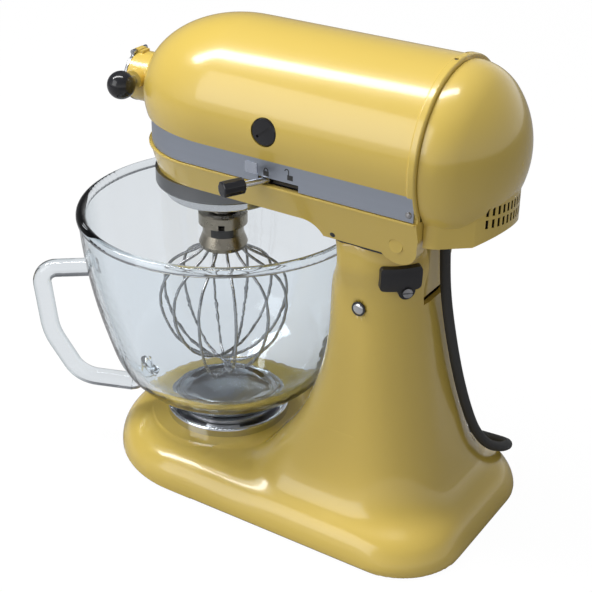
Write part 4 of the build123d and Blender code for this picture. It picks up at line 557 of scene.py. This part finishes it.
class MIXER_OT_finishes(Operator):
    """Give every solid of the model its finish"""
    bl_idname = "mixer.finishes"
    bl_label = "Finishes"

    def execute(self, context):
        colours = context.scene.mixer_colours
        axis = (0, BOWL_AXIS_Y, 0)
        metals = {name: machine_metal(name, *values) for name, values in METALS.items()}
        groups = (
            (butter_enamel(colours), "pedestal motor_housing lower_gear_case hinge_pin"),
            (vented_enamel(colours), "end_cover"),
            (satin_trim(colours), "trim_band"),
            (spun_metal("spun_aluminium", colours, axis, 0.78, 0.20, 0.30), "bowl_base"),
            (spun_metal("satin_ring", colours, axis, 0.34, 0.24, 0.34), "drip_ring"),
            (spun_metal("planetary_disc", colours, axis, 0.92, 0.08, 0.16), "planetary_carrier"),
            (mirror_chrome(colours), "bowl_clamp_plate side_plug attachment_screw"),
            (lever_steel(colours), "lock_lever speed_lever"),
            (turned_steel(colours), "beater_shaft beater_drive_pin hub_cover hub_cover_pin"),
            (whip_wire(colours), "whip_wires whip_cross_wires"),
            (metals["worn_ferrule"], "whip_ferrule"),
            (metals["screw_steel"], "clamp_plate_screws terminal_cover_screw neck_adjusting_screw"),
            (metals["screw_steel"], "case_screws end_cover_screws trim_screws latch_keeper"),
            (metals["prong_brass"], "plug_prongs"),
            (metals["bracket_alloy"], "front_bearing_bracket rear_bearing_bracket"),
            (metals["gear_steel"], "ring_gear armature_shaft worm_wheel_shaft center_shaft center_gear"),
            (metals["gear_steel"], "beater_pinion hub_drive_shaft"),
            (metals["gear_bronze"], "worm_wheel center_shaft_bush"),
            (black_plastic("black_moulding", colours, 0.34, 0.46, 1400.0, 0.0002),
             "terminal_cover power_plug cord_gland cord_tie brush_holders control_plate cooling_fan"),
            (black_plastic("black_gloss", colours, 0.10, 0.18, 300.0, 0.0001),
             "attachment_knob speed_knob lock_knob brush_caps"),
            (cord_rubber(), "power_cord power_cord_coil rubber_feet"),
            (carbon_block(), "carbon_brushes"),
            (lamination_steel(), "field_core armature_core"),
            (wound_copper(), "field_coils commutator"),
            (clear_glass(colours), "glass_bowl"),
        )
        for material, names in groups:
            for name in names.split():
                mesh = NODES[name].data
                mesh.materials.clear()
                mesh.materials.append(material)
        return {"FINISHED"}


def coil_place(step):
    """Point of the coil after a number of quarter turns: in, up one layer, and out again."""
    layer = 2 * CORD_RADIUS + COIL_GAP
    middle = COIL_QUARTERS / 2
    turn = math.radians(-90 * step)
    middle_x, middle_y = CORD_ROUTE[-1][0] - COIL_RADIUS, CORD_ROUTE[-1][1]
    radius = COIL_RADIUS - layer / 4 * (middle - abs(step - middle))
    climb = min(1, max(0, (step - middle + 1) / 2))
    height = CORD_RADIUS + COIL_LIFT + layer * climb
    return middle_x + radius * math.cos(turn), middle_y + radius * math.sin(turn), height


def cord_points(turn_points):
    """Control points of the cord's line, in metres: down the column, round the coil and out to the plug."""
    count = COIL_QUARTERS * turn_points // 4
    coil = [coil_place(COIL_QUARTERS * i / count) for i in range(1, count + 1)]
    end_x, end_y, end_z = PLUG_END
    heights = (coil[-1][2], end_z + PLUG_LEAD_RISE, end_z)
    tail = [(end_x + lead, end_y, height) for lead, height in zip(PLUG_LEAD, heights)]
    return [place(*point) for point in (*CORD_ROUTE, *coil, *tail, PLUG_END)]


def cord_tube(points, diameter):
    """Tube along the smooth line of its control points, and the points of that line."""
    curve = bpy.data.curves.new("cord_line", "CURVE")
    curve.dimensions = "3D"
    curve.bevel_resolution = 5
    curve.resolution_u = 8
    curve.use_fill_caps = True
    line = curve.splines.new("NURBS")
    line.points.add(len(points) - 1)
    for control, point in zip(line.points, points):
        control.co = (*point, 1)
    line.order_u = 3
    line.use_endpoint_u = True
    guide = bpy.data.objects.new("cord_line", curve)
    centreline = bpy.data.meshes.new_from_object(guide)
    path = [tuple(vertex.co) for vertex in centreline.vertices]
    curve.bevel_depth = diameter / 2
    tube = bpy.data.meshes.new_from_object(guide)
    tube.shade_smooth()
    bpy.data.objects.remove(guide)
    bpy.data.curves.remove(curve)
    bpy.data.meshes.remove(centreline)
    return tube, path


class MIXER_OT_cord(Operator):
    """Lay the mains cord down the column, into its coil and out to the plug"""
    bl_idname = "mixer.cord"
    bl_label = "Mains cord"

    def execute(self, context):
        sizes = context.scene.mixer_cord
        points = cord_points(sizes.turn_points)
        tube, path = cord_tube(points, sizes.diameter)
        tube.name = "mains_cord"
        tube.materials.clear()
        tube.materials.append(bpy.data.materials["cord_rubber"])
        cord = bpy.data.objects.new("mains_cord", tube)
        context.collection.objects.link(cord)
        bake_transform(cord)
        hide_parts("power_cord", "power_cord_coil")
        return {"FINISHED"}


def make_piece(name, shape, material, body):
    """Turn a bmesh into a finished piece that rides on a body."""
    bmesh.ops.remove_doubles(shape, verts=shape.verts, dist=MERGE)
    bmesh.ops.recalc_face_normals(shape, faces=shape.faces)
    mesh = bpy.data.meshes.new(name)
    shape.to_mesh(mesh)
    shape.free()
    piece = bpy.data.objects.new(name, mesh)
    bpy.context.collection.objects.link(piece)
    mesh.materials.append(bpy.data.materials[material])
    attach(piece, body)
    return piece


def smooth(piece, angle):
    """Shade a piece smooth, with sharp edges past an angle in degrees."""
    piece.data.shade_smooth()
    piece.data.set_sharp_from_angle(angle=math.radians(angle))


def of_kind(geometry, kind):
    return [item for item in geometry if isinstance(item, kind)]


def level_edges(shape):
    return [e for e in shape.edges if abs(e.verts[0].co.z - e.verts[1].co.z) < MERGE]


def round_edges(shape, edges, offset, segments=3):
    bmesh.ops.bevel(shape, geom=edges, offset=offset, segments=segments, profile=0.5, affect="EDGES",
                    material=-1)


def padlock(shape, opened):
    """Flat padlock of about 5 by 7 mm about the origin, in millimetres, in the plane of X and Y."""
    body = bmesh.ops.create_grid(shape, x_segments=1, y_segments=1, size=0.5)["verts"]
    bmesh.ops.scale(shape, vec=(*LOCK_BODY, 1), verts=body)
    bmesh.ops.translate(shape, vec=(0, -LOCK_BODY[1] / 2, 0), verts=body)
    rise = OPEN_SHACKLE_RISE if opened else SHACKLE_RISE
    foot = [shape.verts.new((reach, 0, 0)) for reach in SHACKLE]
    leg = bmesh.ops.extrude_edge_only(shape, edges=[shape.edges.new(foot)])["geom"]
    top = of_kind(leg, bmesh.types.BMVert)
    bmesh.ops.translate(shape, vec=(0, rise, 0), verts=top)
    edge = [e for e in of_kind(leg, bmesh.types.BMEdge) if all(v in top for v in e.verts)]
    arch = bmesh.ops.spin(shape, geom=top + edge, cent=(0, rise, 0), axis=(0, 0, 1), angle=math.pi,
                          steps=10)
    if opened:
        shackle = [v for v in shape.verts if v not in body]
        bmesh.ops.translate(shape, vec=(OPEN_SHACKLE_SHIFT, 0, 0), verts=shackle)
    else:
        last = of_kind(arch["geom_last"], bmesh.types.BMEdge)
        end = bmesh.ops.extrude_edge_only(shape, edges=last)["geom"]
        bmesh.ops.translate(shape, vec=(0, -rise, 0), verts=of_kind(end, bmesh.types.BMVert))


class MIXER_OT_lock_marks(Operator):
    """Print the open and closed padlock marks on the trim band"""
    bl_idname = "mixer.lock_marks"
    bl_label = "Lock marks"

    def execute(self, context):
        for name, y, z in LOCK_MARKS:
            shape = bmesh.new()
            padlock(shape, name == "unlocked")
            bmesh.ops.solidify(shape, geom=shape.faces[:], thickness=MARK_THICK)
            stand = Matrix(((0, 0, 0.001, 0), (0.001, 0, 0, 0), (0, 0.001, 0, 0), (0, 0, 0, 1)))
            bmesh.ops.transform(shape, matrix=stand, verts=shape.verts)
            bmesh.ops.translate(shape, vec=place(BAND_FACE_X + MARK_THICK, y, z), verts=shape.verts)
            make_piece(f"lock_mark_{name}", shape, "black_moulding", "head")
        return {"FINISHED"}


def standing(start, along):
    """Matrix that stands a shape, drawn in millimetres along Z, at a place and facing a direction."""
    turn = Vector((0, 0, 1)).rotation_difference(Vector(along)).to_matrix().to_4x4()
    return Matrix.Translation(place(*start)) @ turn @ Matrix.Scale(0.001, 4)


def stub(shape, radius, length, sides, edge):
    """Cylinder in millimetres from the origin up, with its end edges rounded."""
    made = bmesh.ops.create_cone(shape, cap_ends=True, segments=sides, radius1=radius, radius2=radius,
                                 depth=length)
    bmesh.ops.translate(shape, vec=(0, 0, length / 2), verts=made["verts"])
    round_edges(shape, level_edges(shape), edge, 4)


def halved(source, spot, facing):
    """Closed part of a shape on the side of a plane that the plane faces."""
    part = source.copy()
    geometry = part.verts[:] + part.edges[:] + part.faces[:]
    cut = bmesh.ops.bisect_plane(part, geom=geometry, dist=CUT_MERGE, plane_co=place(*spot), plane_no=facing,
                                 clear_inner=True)
    bmesh.ops.triangle_fill(part, edges=of_kind(cut["geom_cut"], bmesh.types.BMEdge), use_beauty=True)
    return part


def even_mesh(shape, size):
    """Mesh of a closed shape in even squares of one size."""
    mesh = bpy.data.meshes.new("even")
    shape.to_mesh(mesh)
    holder = bpy.data.objects.new("even", mesh)
    bpy.context.collection.objects.link(holder)
    grid = holder.modifiers.new("even", "REMESH")
    grid.mode = "VOXEL"
    grid.voxel_size = size
    graph = bpy.context.evaluated_depsgraph_get()
    made = bmesh.new()
    made.from_object(holder, graph)
    bpy.data.objects.remove(holder)
    bpy.data.meshes.remove(mesh)
    return made


def ramp(value, start, end):
    return min(1, max(0, (value - start) / (end - start)))


def sweep_weight(point):
    """How far a point of the foot is smoothed: fully where the column runs out into it."""
    x, y, z = 1000 * point.x, 1000 * (point.y - BOWL_AXIS_Y), 1000 * point.z
    upright = ramp(z, *SWEEP_LOW) * ramp(z, *SWEEP_HIGH)
    return upright * ramp(math.hypot(x, y), *SWEEP_BOWL) * ramp(y, *SWEEP_FRONT)


class MIXER_OT_casting(Operator):
    """Run the column out into the foot in one sweep, as a poured casting has it"""
    bl_idname = "mixer.casting"
    bl_label = "Pedestal casting"

    def execute(self, context):
        source = bmesh.new()
        source.from_mesh(NODES["pedestal"].data)
        bmesh.ops.remove_doubles(source, verts=source.verts, dist=MERGE)
        column = halved(source, (0, 0, SWEEP_TOP), (0, 0, 1))
        below = halved(source, (0, 0, SWEEP_TOP + SWEEP_LAP), (0, 0, -1))
        front = halved(below, (0, SWEEP_START, 0), (0, -1, 0))
        rear = halved(below, (0, SWEEP_START - SWEEP_LAP, 0), (0, 1, 0))
        foot = even_mesh(rear, SWEEP_GRID / 1000)
        weights = [(v, sweep_weight(v.co)) for v in foot.verts]
        for step in range(SWEEP_STEPS):
            soft = [v for v, weight in weights if weight * SWEEP_STEPS > step]
            bmesh.ops.smooth_vert(foot, verts=soft, factor=0.5, use_axis_x=True, use_axis_y=True,
                                  use_axis_z=True)
        for part in (column, front):
            mesh = bpy.data.meshes.new("part")
            part.to_mesh(mesh)
            foot.from_mesh(mesh)
            bpy.data.meshes.remove(mesh)
        for spare in (source, column, below, front, rear):
            spare.free()
        casting = make_piece("pedestal_casting", foot, "butter_enamel", "pedestal")
        smooth(casting, SHARP_ANGLE)
        evened = casting.modifiers.new("evened", "WEIGHTED_NORMAL")
        evened.keep_sharp = True
        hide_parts("pedestal")
        return {"FINISHED"}


class MIXER_OT_grips(Operator):
    """Make the faceted grips of the lock and speed levers"""
    bl_idname = "mixer.grips"
    bl_label = "Lever grips"

    def execute(self, context):
        for name, node, body, start, along in GRIPS:
            shape = bmesh.new()
            stub(shape, GRIP_RADIUS, GRIP_LENGTH, GRIP_SIDES, GRIP_END_ROUND)
            flats = [e for e in shape.edges if e.calc_length() > GRIP_LENGTH / 2]
            round_edges(shape, flats, GRIP_FLAT_ROUND)
            bmesh.ops.transform(shape, matrix=standing(start, along), verts=shape.verts)
            grip = make_piece(name, shape, "black_gloss", body)
            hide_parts(node)
        return {"FINISHED"}


class MIXER_OT_trim(Operator):
    """Add the small plate on the trim band, and dark discs of painted shade for the blind holes in the neck
    """
    bl_idname = "mixer.trim"
    bl_label = "Small trim"

    def execute(self, context):
        shape = bmesh.new()
        bmesh.ops.create_cube(shape, size=1.0)
        size = (PLATE_THICK, PLATE_Y[1] - PLATE_Y[0], PLATE_Z[1] - PLATE_Z[0])
        bmesh.ops.scale(shape, vec=size, verts=shape.verts)
        round_edges(shape, shape.edges[:], PLATE_ROUND)
        bmesh.ops.scale(shape, vec=(0.001, 0.001, 0.001), verts=shape.verts)
        middle = place(BAND_FACE_X + PLATE_THICK / 2, sum(PLATE_Y) / 2, sum(PLATE_Z) / 2)
        bmesh.ops.translate(shape, vec=middle, verts=shape.verts)
        make_piece("band_plate", shape, "bright_plate", "head")
        # Dark disc of painted shade in each blind hole of the cheeks
        for name, side in (("right", 1), ("left", -1)):
            shape = bmesh.new()
            stub(shape, CHEEK_HOLE_RADIUS, CHEEK_HOLE_DEPTH, CHEEK_HOLE_SIDES, CHEEK_HOLE_ROUND)
            start = (side * (CHEEK_HOLE[0] - CHEEK_HOLE_SUNK * CHEEK_SLOPE[0]), *CHEEK_HOLE[1:])
            along = (side * CHEEK_SLOPE[0], *CHEEK_SLOPE[1:])
            bmesh.ops.transform(shape, matrix=standing(start, along), verts=shape.verts)
            make_piece(f"cheek_hole_shade_{name}", shape, "black_moulding", "head")
        return {"FINISHED"}


def wall(points, height, thick):
    """Upright wall along points in plan."""
    shape = bmesh.new()
    low = [shape.verts.new(place(x, y, height[0])) for x, y in points]
    high = [shape.verts.new(place(x, y, height[1])) for x, y in points]
    for i in range(len(points) - 1):
        shape.faces.new((low[i], low[i + 1], high[i + 1], high[i]))
    bmesh.ops.recalc_face_normals(shape, faces=shape.faces)
    bmesh.ops.solidify(shape, geom=shape.faces[:], thickness=thick / 1000)
    return shape


def arc(middle, radius, start, end, steps=24):
    angles = [math.radians(start + (end - start) * i / steps) for i in range(steps + 1)]
    return [(middle[0] + radius * math.cos(a), middle[1] + radius * math.sin(a)) for a in angles]


class MIXER_OT_openings(Operator):
    """Paint shade with dark sheets behind the vents, in the whip's openings and in the neck's gap"""
    bl_idname = "mixer.openings"
    bl_label = "Openings"

    def execute(self, context):
        vents = arc(VENT_MIDDLE, VENT_RADIUS, 90 - VENT_HALF_ANGLE, 90 + VENT_HALF_ANGLE)
        # Dark sheet of painted shade behind the vents, for the shade inside the cover
        dark_sheet = wall(vents, VENT_HEIGHT, VENT_SHADE_THICK)
        make_piece("vent_shade_sheet", dark_sheet, "black_moulding", "head")
        for name, turn in (("near", FERRULE_FACING), ("far", FERRULE_FACING + 180)):
            ends = (turn - FERRULE_HALF_ANGLE, turn + FERRULE_HALF_ANGLE)
            opening_rim = arc(FERRULE_MIDDLE, FERRULE_RADIUS, *ends)
            # Dark sheet of painted shade in each opening of the ferrule
            shade_patch = wall(opening_rim, FERRULE_HEIGHT, FERRULE_SHADE_THICK)
            make_piece(f"ferrule_opening_shade_{name}", shade_patch, "black_moulding", "beater")
        # Dark strip of painted shadow in the gap between the neck and the column
        inner, corner_y = NECK_SHADOW_HALF_WIDTH - NECK_SHADOW_CORNER, NECK_SHADOW_FRONT + NECK_SHADOW_CORNER
        edge = [(NECK_SHADOW_HALF_WIDTH, NECK_SHADOW_REAR)]
        edge += arc((inner, corner_y), NECK_SHADOW_CORNER, 0, -90, 12)
        edge += arc((-inner, corner_y), NECK_SHADOW_CORNER, -90, -180, 12)
        edge += [(-NECK_SHADOW_HALF_WIDTH, NECK_SHADOW_REAR)]
        shadow_strip = wall(edge, NECK_SHADOW_HEIGHT, NECK_SHADOW_THICK)
        make_piece("neck_gap_shadow", shadow_strip, "black_moulding", "pedestal")
        return {"FINISHED"}


class MIXER_OT_handle(Operator):
    """Join the lower end of the bowl's handle to the wall of the bowl"""
    bl_idname = "mixer.handle"
    bl_label = "Handle root"

    def execute(self, context):
        turn = math.radians(HANDLE_TURN)
        shape = bmesh.new()
        rings = []
        for reach, height, radius, lean in HANDLE_ROOT:
            slant = math.radians(lean)
            ring = []
            for across, up in arc((0, 0), radius, 0, 360, ROOT_SIDES)[:-1]:
                out = reach + up * math.sin(slant)
                x = out * math.cos(turn) - across * math.sin(turn)
                y = out * math.sin(turn) + across * math.cos(turn)
                ring.append(shape.verts.new(place(x, y, height + up * math.cos(slant))))
            rings.append(ring)
        for near, far in zip(rings, rings[1:]):
            for i in range(ROOT_SIDES):
                shape.faces.new((near[i - 1], near[i], far[i], far[i - 1]))
        shape.faces.new(rings[0])
        shape.faces.new(rings[-1])
        root = make_piece("handle_root", shape, "clear_glass", "bowl")
        smooth(root, ROOT_SHARP_ANGLE)
        return {"FINISHED"}


class MIXER_OT_ledge(Operator):
    """Run the narrow ledge of the gear case along the lower edge of the trim band"""
    bl_idname = "mixer.ledge"
    bl_label = "Case ledge"

    def execute(self, context):
        nose = arc((0, 0), 1.0, 0, -180, 64)
        line = [(LEDGE_HALF_WIDTH, LEDGE_REAR)]
        line += [(LEDGE_HALF_WIDTH * x, LEDGE_NOSE_Y + LEDGE_NOSE * y) for x, y in nose]
        line += [(-LEDGE_HALF_WIDTH, LEDGE_REAR)]
        shape = wall(line, LEDGE_HEIGHT, LEDGE_THICK)
        round_edges(shape, level_edges(shape), LEDGE_ROUND / 1000)
        ledge = make_piece("case_ledge", shape, "butter_enamel", "head")
        smooth(ledge, SHARP_ANGLE)
        return {"FINISHED"}


class MIXER_OT_plug(Operator):
    """Make the domed plug in the column's side and its dark ring"""
    bl_idname = "mixer.plug"
    bl_label = "Side plug"

    def execute(self, context):
        shape = bmesh.new()
        bmesh.ops.create_uvsphere(shape, u_segments=PLUG_SIDES, v_segments=24, radius=PLUG_RADIUS)
        bmesh.ops.scale(shape, vec=(1, 1, PLUG_RISE / PLUG_RADIUS), verts=shape.verts)
        bmesh.ops.transform(shape, matrix=standing(PLUG_SEAT, PLUG_FACING), verts=shape.verts)
        dome = make_piece("plug_dome", shape, "mirror_chrome", "pedestal")
        dome.data.shade_smooth()
        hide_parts("side_plug")
        shape = bmesh.new()
        stub(shape, PLUG_RADIUS + PLUG_RING_WIDTH, PLUG_RING_THICK, PLUG_SIDES, PLUG_RING_ROUND)
        bmesh.ops.transform(shape, matrix=standing(PLUG_SEAT, PLUG_FACING), verts=shape.verts)
        make_piece("plug_ring", shape, "black_moulding", "pedestal")
        return {"FINISHED"}


class MIXER_OT_stage(Operator):
    """Set the floor, lamps, room light and camera"""
    bl_idname = "mixer.stage"
    bl_label = "Stage"

    def floor(self, context):
        shape = bmesh.new()
        bmesh.ops.create_grid(shape, x_segments=2, y_segments=2, size=FLOOR_SIZE)
        mesh = bpy.data.meshes.new("floor")
        shape.to_mesh(mesh)
        shape.free()
        floor = bpy.data.objects.new("floor", mesh)
        context.collection.objects.link(floor)
        material = bpy.data.materials.new("floor_paper")
        material.use_nodes = True
        tree = material.node_tree
        tree.nodes.clear()
        paper = add_node(tree, "ShaderNodeBsdfDiffuse", {"Color": FLOOR_COLOUR})
        glow = add_node(tree, "ShaderNodeEmission", {"Strength": FLOOR_GLOW})
        path = add_node(tree, "ShaderNodeLightPath")
        through = add_node(tree, "ShaderNodeMath", {1: FLOOR_THROUGH_GLASS}, operation="MULTIPLY")
        seen = add_node(tree, "ShaderNodeMath", {1: FLOOR_SEEN}, operation="MULTIPLY_ADD", use_clamp=True)
        mixed = add_node(tree, "ShaderNodeMixShader")
        out = add_node(tree, "ShaderNodeOutputMaterial")
        join = tree.links.new
        join(path.outputs["Is Transmission Ray"], through.inputs[0])
        join(path.outputs["Is Camera Ray"], seen.inputs[0])
        join(through.outputs[0], seen.inputs[2])
        join(seen.outputs[0], mixed.inputs["Fac"])
        join(paper.outputs["BSDF"], mixed.inputs[1])
        join(glow.outputs["Emission"], mixed.inputs[2])
        join(mixed.outputs["Shader"], out.inputs["Surface"])
        mesh.materials.append(material)

    def lamp(self, context, name, setting, power):
        spot, target, size = setting
        light = bpy.data.lights.new(name, "AREA")
        light.shape = "RECTANGLE"
        light.size, light.size_y = size
        light.energy = power
        lamp = bpy.data.objects.new(name, light)
        context.collection.objects.link(lamp)
        lamp.location = spot
        lamp.rotation_euler = (Vector(target) - Vector(spot)).to_track_quat("-Z", "Y").to_euler()

    def room(self, scene, strength):
        """Even light on what is painted, and white walls with a curtain for metal and glass to show."""
        world = bpy.data.worlds.new("studio")
        scene.world = world
        world.use_nodes = True
        tree = world.node_tree
        tree.nodes.clear()
        join = tree.links.new
        path = add_node(tree, "ShaderNodeLightPath")
        spot = add_node(tree, "ShaderNodeTexCoord")
        axes = add_node(tree, "ShaderNodeSeparateXYZ")
        walls = two_tones(tree, WHITE, WALL_TOP, WALL_FADE)
        join(spot.outputs["Generated"], axes.inputs["Vector"])
        join(axes.outputs["Z"], walls.inputs["Fac"])
        aim = add_node(tree, "ShaderNodeVectorMath", {1: CURTAIN_SIDE}, operation="DOT_PRODUCT")
        curtain = two_tones(tree, WHITE, CURTAIN, CURTAIN_FADE)
        join(spot.outputs["Generated"], aim.inputs[0])
        join(aim.outputs["Value"], curtain.inputs["Fac"])
        dimmed = add_node(tree, "ShaderNodeMix", {"Factor": 1.0}, data_type="RGBA", blend_type="MULTIPLY")
        join(walls.outputs["Color"], dimmed.inputs[MIX_FIRST])
        join(curtain.outputs["Color"], dimmed.inputs[MIX_SECOND])
        lit = add_node(tree, "ShaderNodeMix", {MIX_SECOND: WHITE}, data_type="RGBA")
        join(path.outputs["Is Camera Ray"], lit.inputs["Factor"])
        join(dimmed.outputs[MIX_RESULT], lit.inputs[MIX_FIRST])
        seen = add_node(tree, "ShaderNodeMath", operation="MAXIMUM")
        shown = add_node(tree, "ShaderNodeMath", operation="MAXIMUM")
        join(path.outputs["Is Camera Ray"], seen.inputs[0])
        join(path.outputs["Is Transmission Ray"], seen.inputs[1])
        join(seen.outputs[0], shown.inputs[0])
        join(path.outputs["Is Glossy Ray"], shown.inputs[1])
        even = add_node(tree, "ShaderNodeBackground", {"Color": WHITE, "Strength": strength})
        studio = add_node(tree, "ShaderNodeBackground", {"Strength": 1.0})
        mixed = add_node(tree, "ShaderNodeMixShader")
        out = add_node(tree, "ShaderNodeOutputWorld")
        join(lit.outputs[MIX_RESULT], studio.inputs["Color"])
        join(shown.outputs[0], mixed.inputs["Fac"])
        join(even.outputs["Background"], mixed.inputs[1])
        join(studio.outputs["Background"], mixed.inputs[2])
        join(mixed.outputs["Shader"], out.inputs["Surface"])

    def camera(self, context, lens):
        data = bpy.data.cameras.new("photo_camera")
        data.sensor_width = CAMERA_SENSOR
        data.lens = lens
        camera = bpy.data.objects.new("photo_camera", data)
        context.collection.objects.link(camera)
        right, up = Vector(CAMERA_RIGHT), Vector(CAMERA_UP)
        back = right.cross(up)
        turn = Matrix((right, up, back)).transposed().to_4x4()
        camera.matrix_world = Matrix.Translation(place(*CAMERA_PLACE)) @ turn
        context.scene.camera = camera

    def execute(self, context):
        scene = context.scene
        stage = scene.mixer_stage
        self.floor(context)
        self.lamp(context, "strip_light", STRIP_LIGHT, stage.strip_power)
        self.lamp(context, "fill_light", FILL_LIGHT, stage.fill_power)
        self.room(scene, stage.sky)
        self.camera(context, stage.lens)
        scene.view_settings.view_transform = "Standard"
        return {"FINISHED"}


class MIXER_PT_sidebar(Panel):
    bl_idname = "MIXER_PT_sidebar"
    bl_label = "Stand mixer"
    bl_space_type = "VIEW_3D"
    bl_region_type = "UI"
    bl_category = "Mixer"

    def draw(self, context):
        for group in (context.scene.mixer_colours, context.scene.mixer_cord, context.scene.mixer_stage):
            box = self.layout.box()
            for key in group.__annotations__:
                box.prop(group, key)
        for operator in PIECES:
            self.layout.operator(operator.bl_idname)


GROUPS = (MixerColours, MixerCord, MixerStage)
PIECES = (
    MIXER_OT_finishes, MIXER_OT_casting, MIXER_OT_cord, MIXER_OT_lock_marks, MIXER_OT_grips, MIXER_OT_trim,
    MIXER_OT_openings, MIXER_OT_handle, MIXER_OT_ledge, MIXER_OT_plug, MIXER_OT_stage,
)


def register():
    for kind in (*GROUPS, *PIECES, MIXER_PT_sidebar):
        bpy.utils.register_class(kind)
    bpy.types.Scene.mixer_colours = PointerProperty(type=MixerColours)
    bpy.types.Scene.mixer_cord = PointerProperty(type=MixerCord)
    bpy.types.Scene.mixer_stage = PointerProperty(type=MixerStage)


def unregister():
    del bpy.types.Scene.mixer_stage
    del bpy.types.Scene.mixer_cord
    del bpy.types.Scene.mixer_colours
    for kind in reversed((*GROUPS, *PIECES, MIXER_PT_sidebar)):
        bpy.utils.unregister_class(kind)


def main():
    register()
    bpy.ops.mixer.finishes()
    bpy.ops.mixer.casting()
    bpy.ops.mixer.cord()
    bpy.ops.mixer.lock_marks()
    bpy.ops.mixer.grips()
    bpy.ops.mixer.trim()
    bpy.ops.mixer.openings()
    bpy.ops.mixer.handle()
    bpy.ops.mixer.ledge()
    bpy.ops.mixer.plug()
    bpy.ops.mixer.stage()


if __name__ == "__main__":
    main()
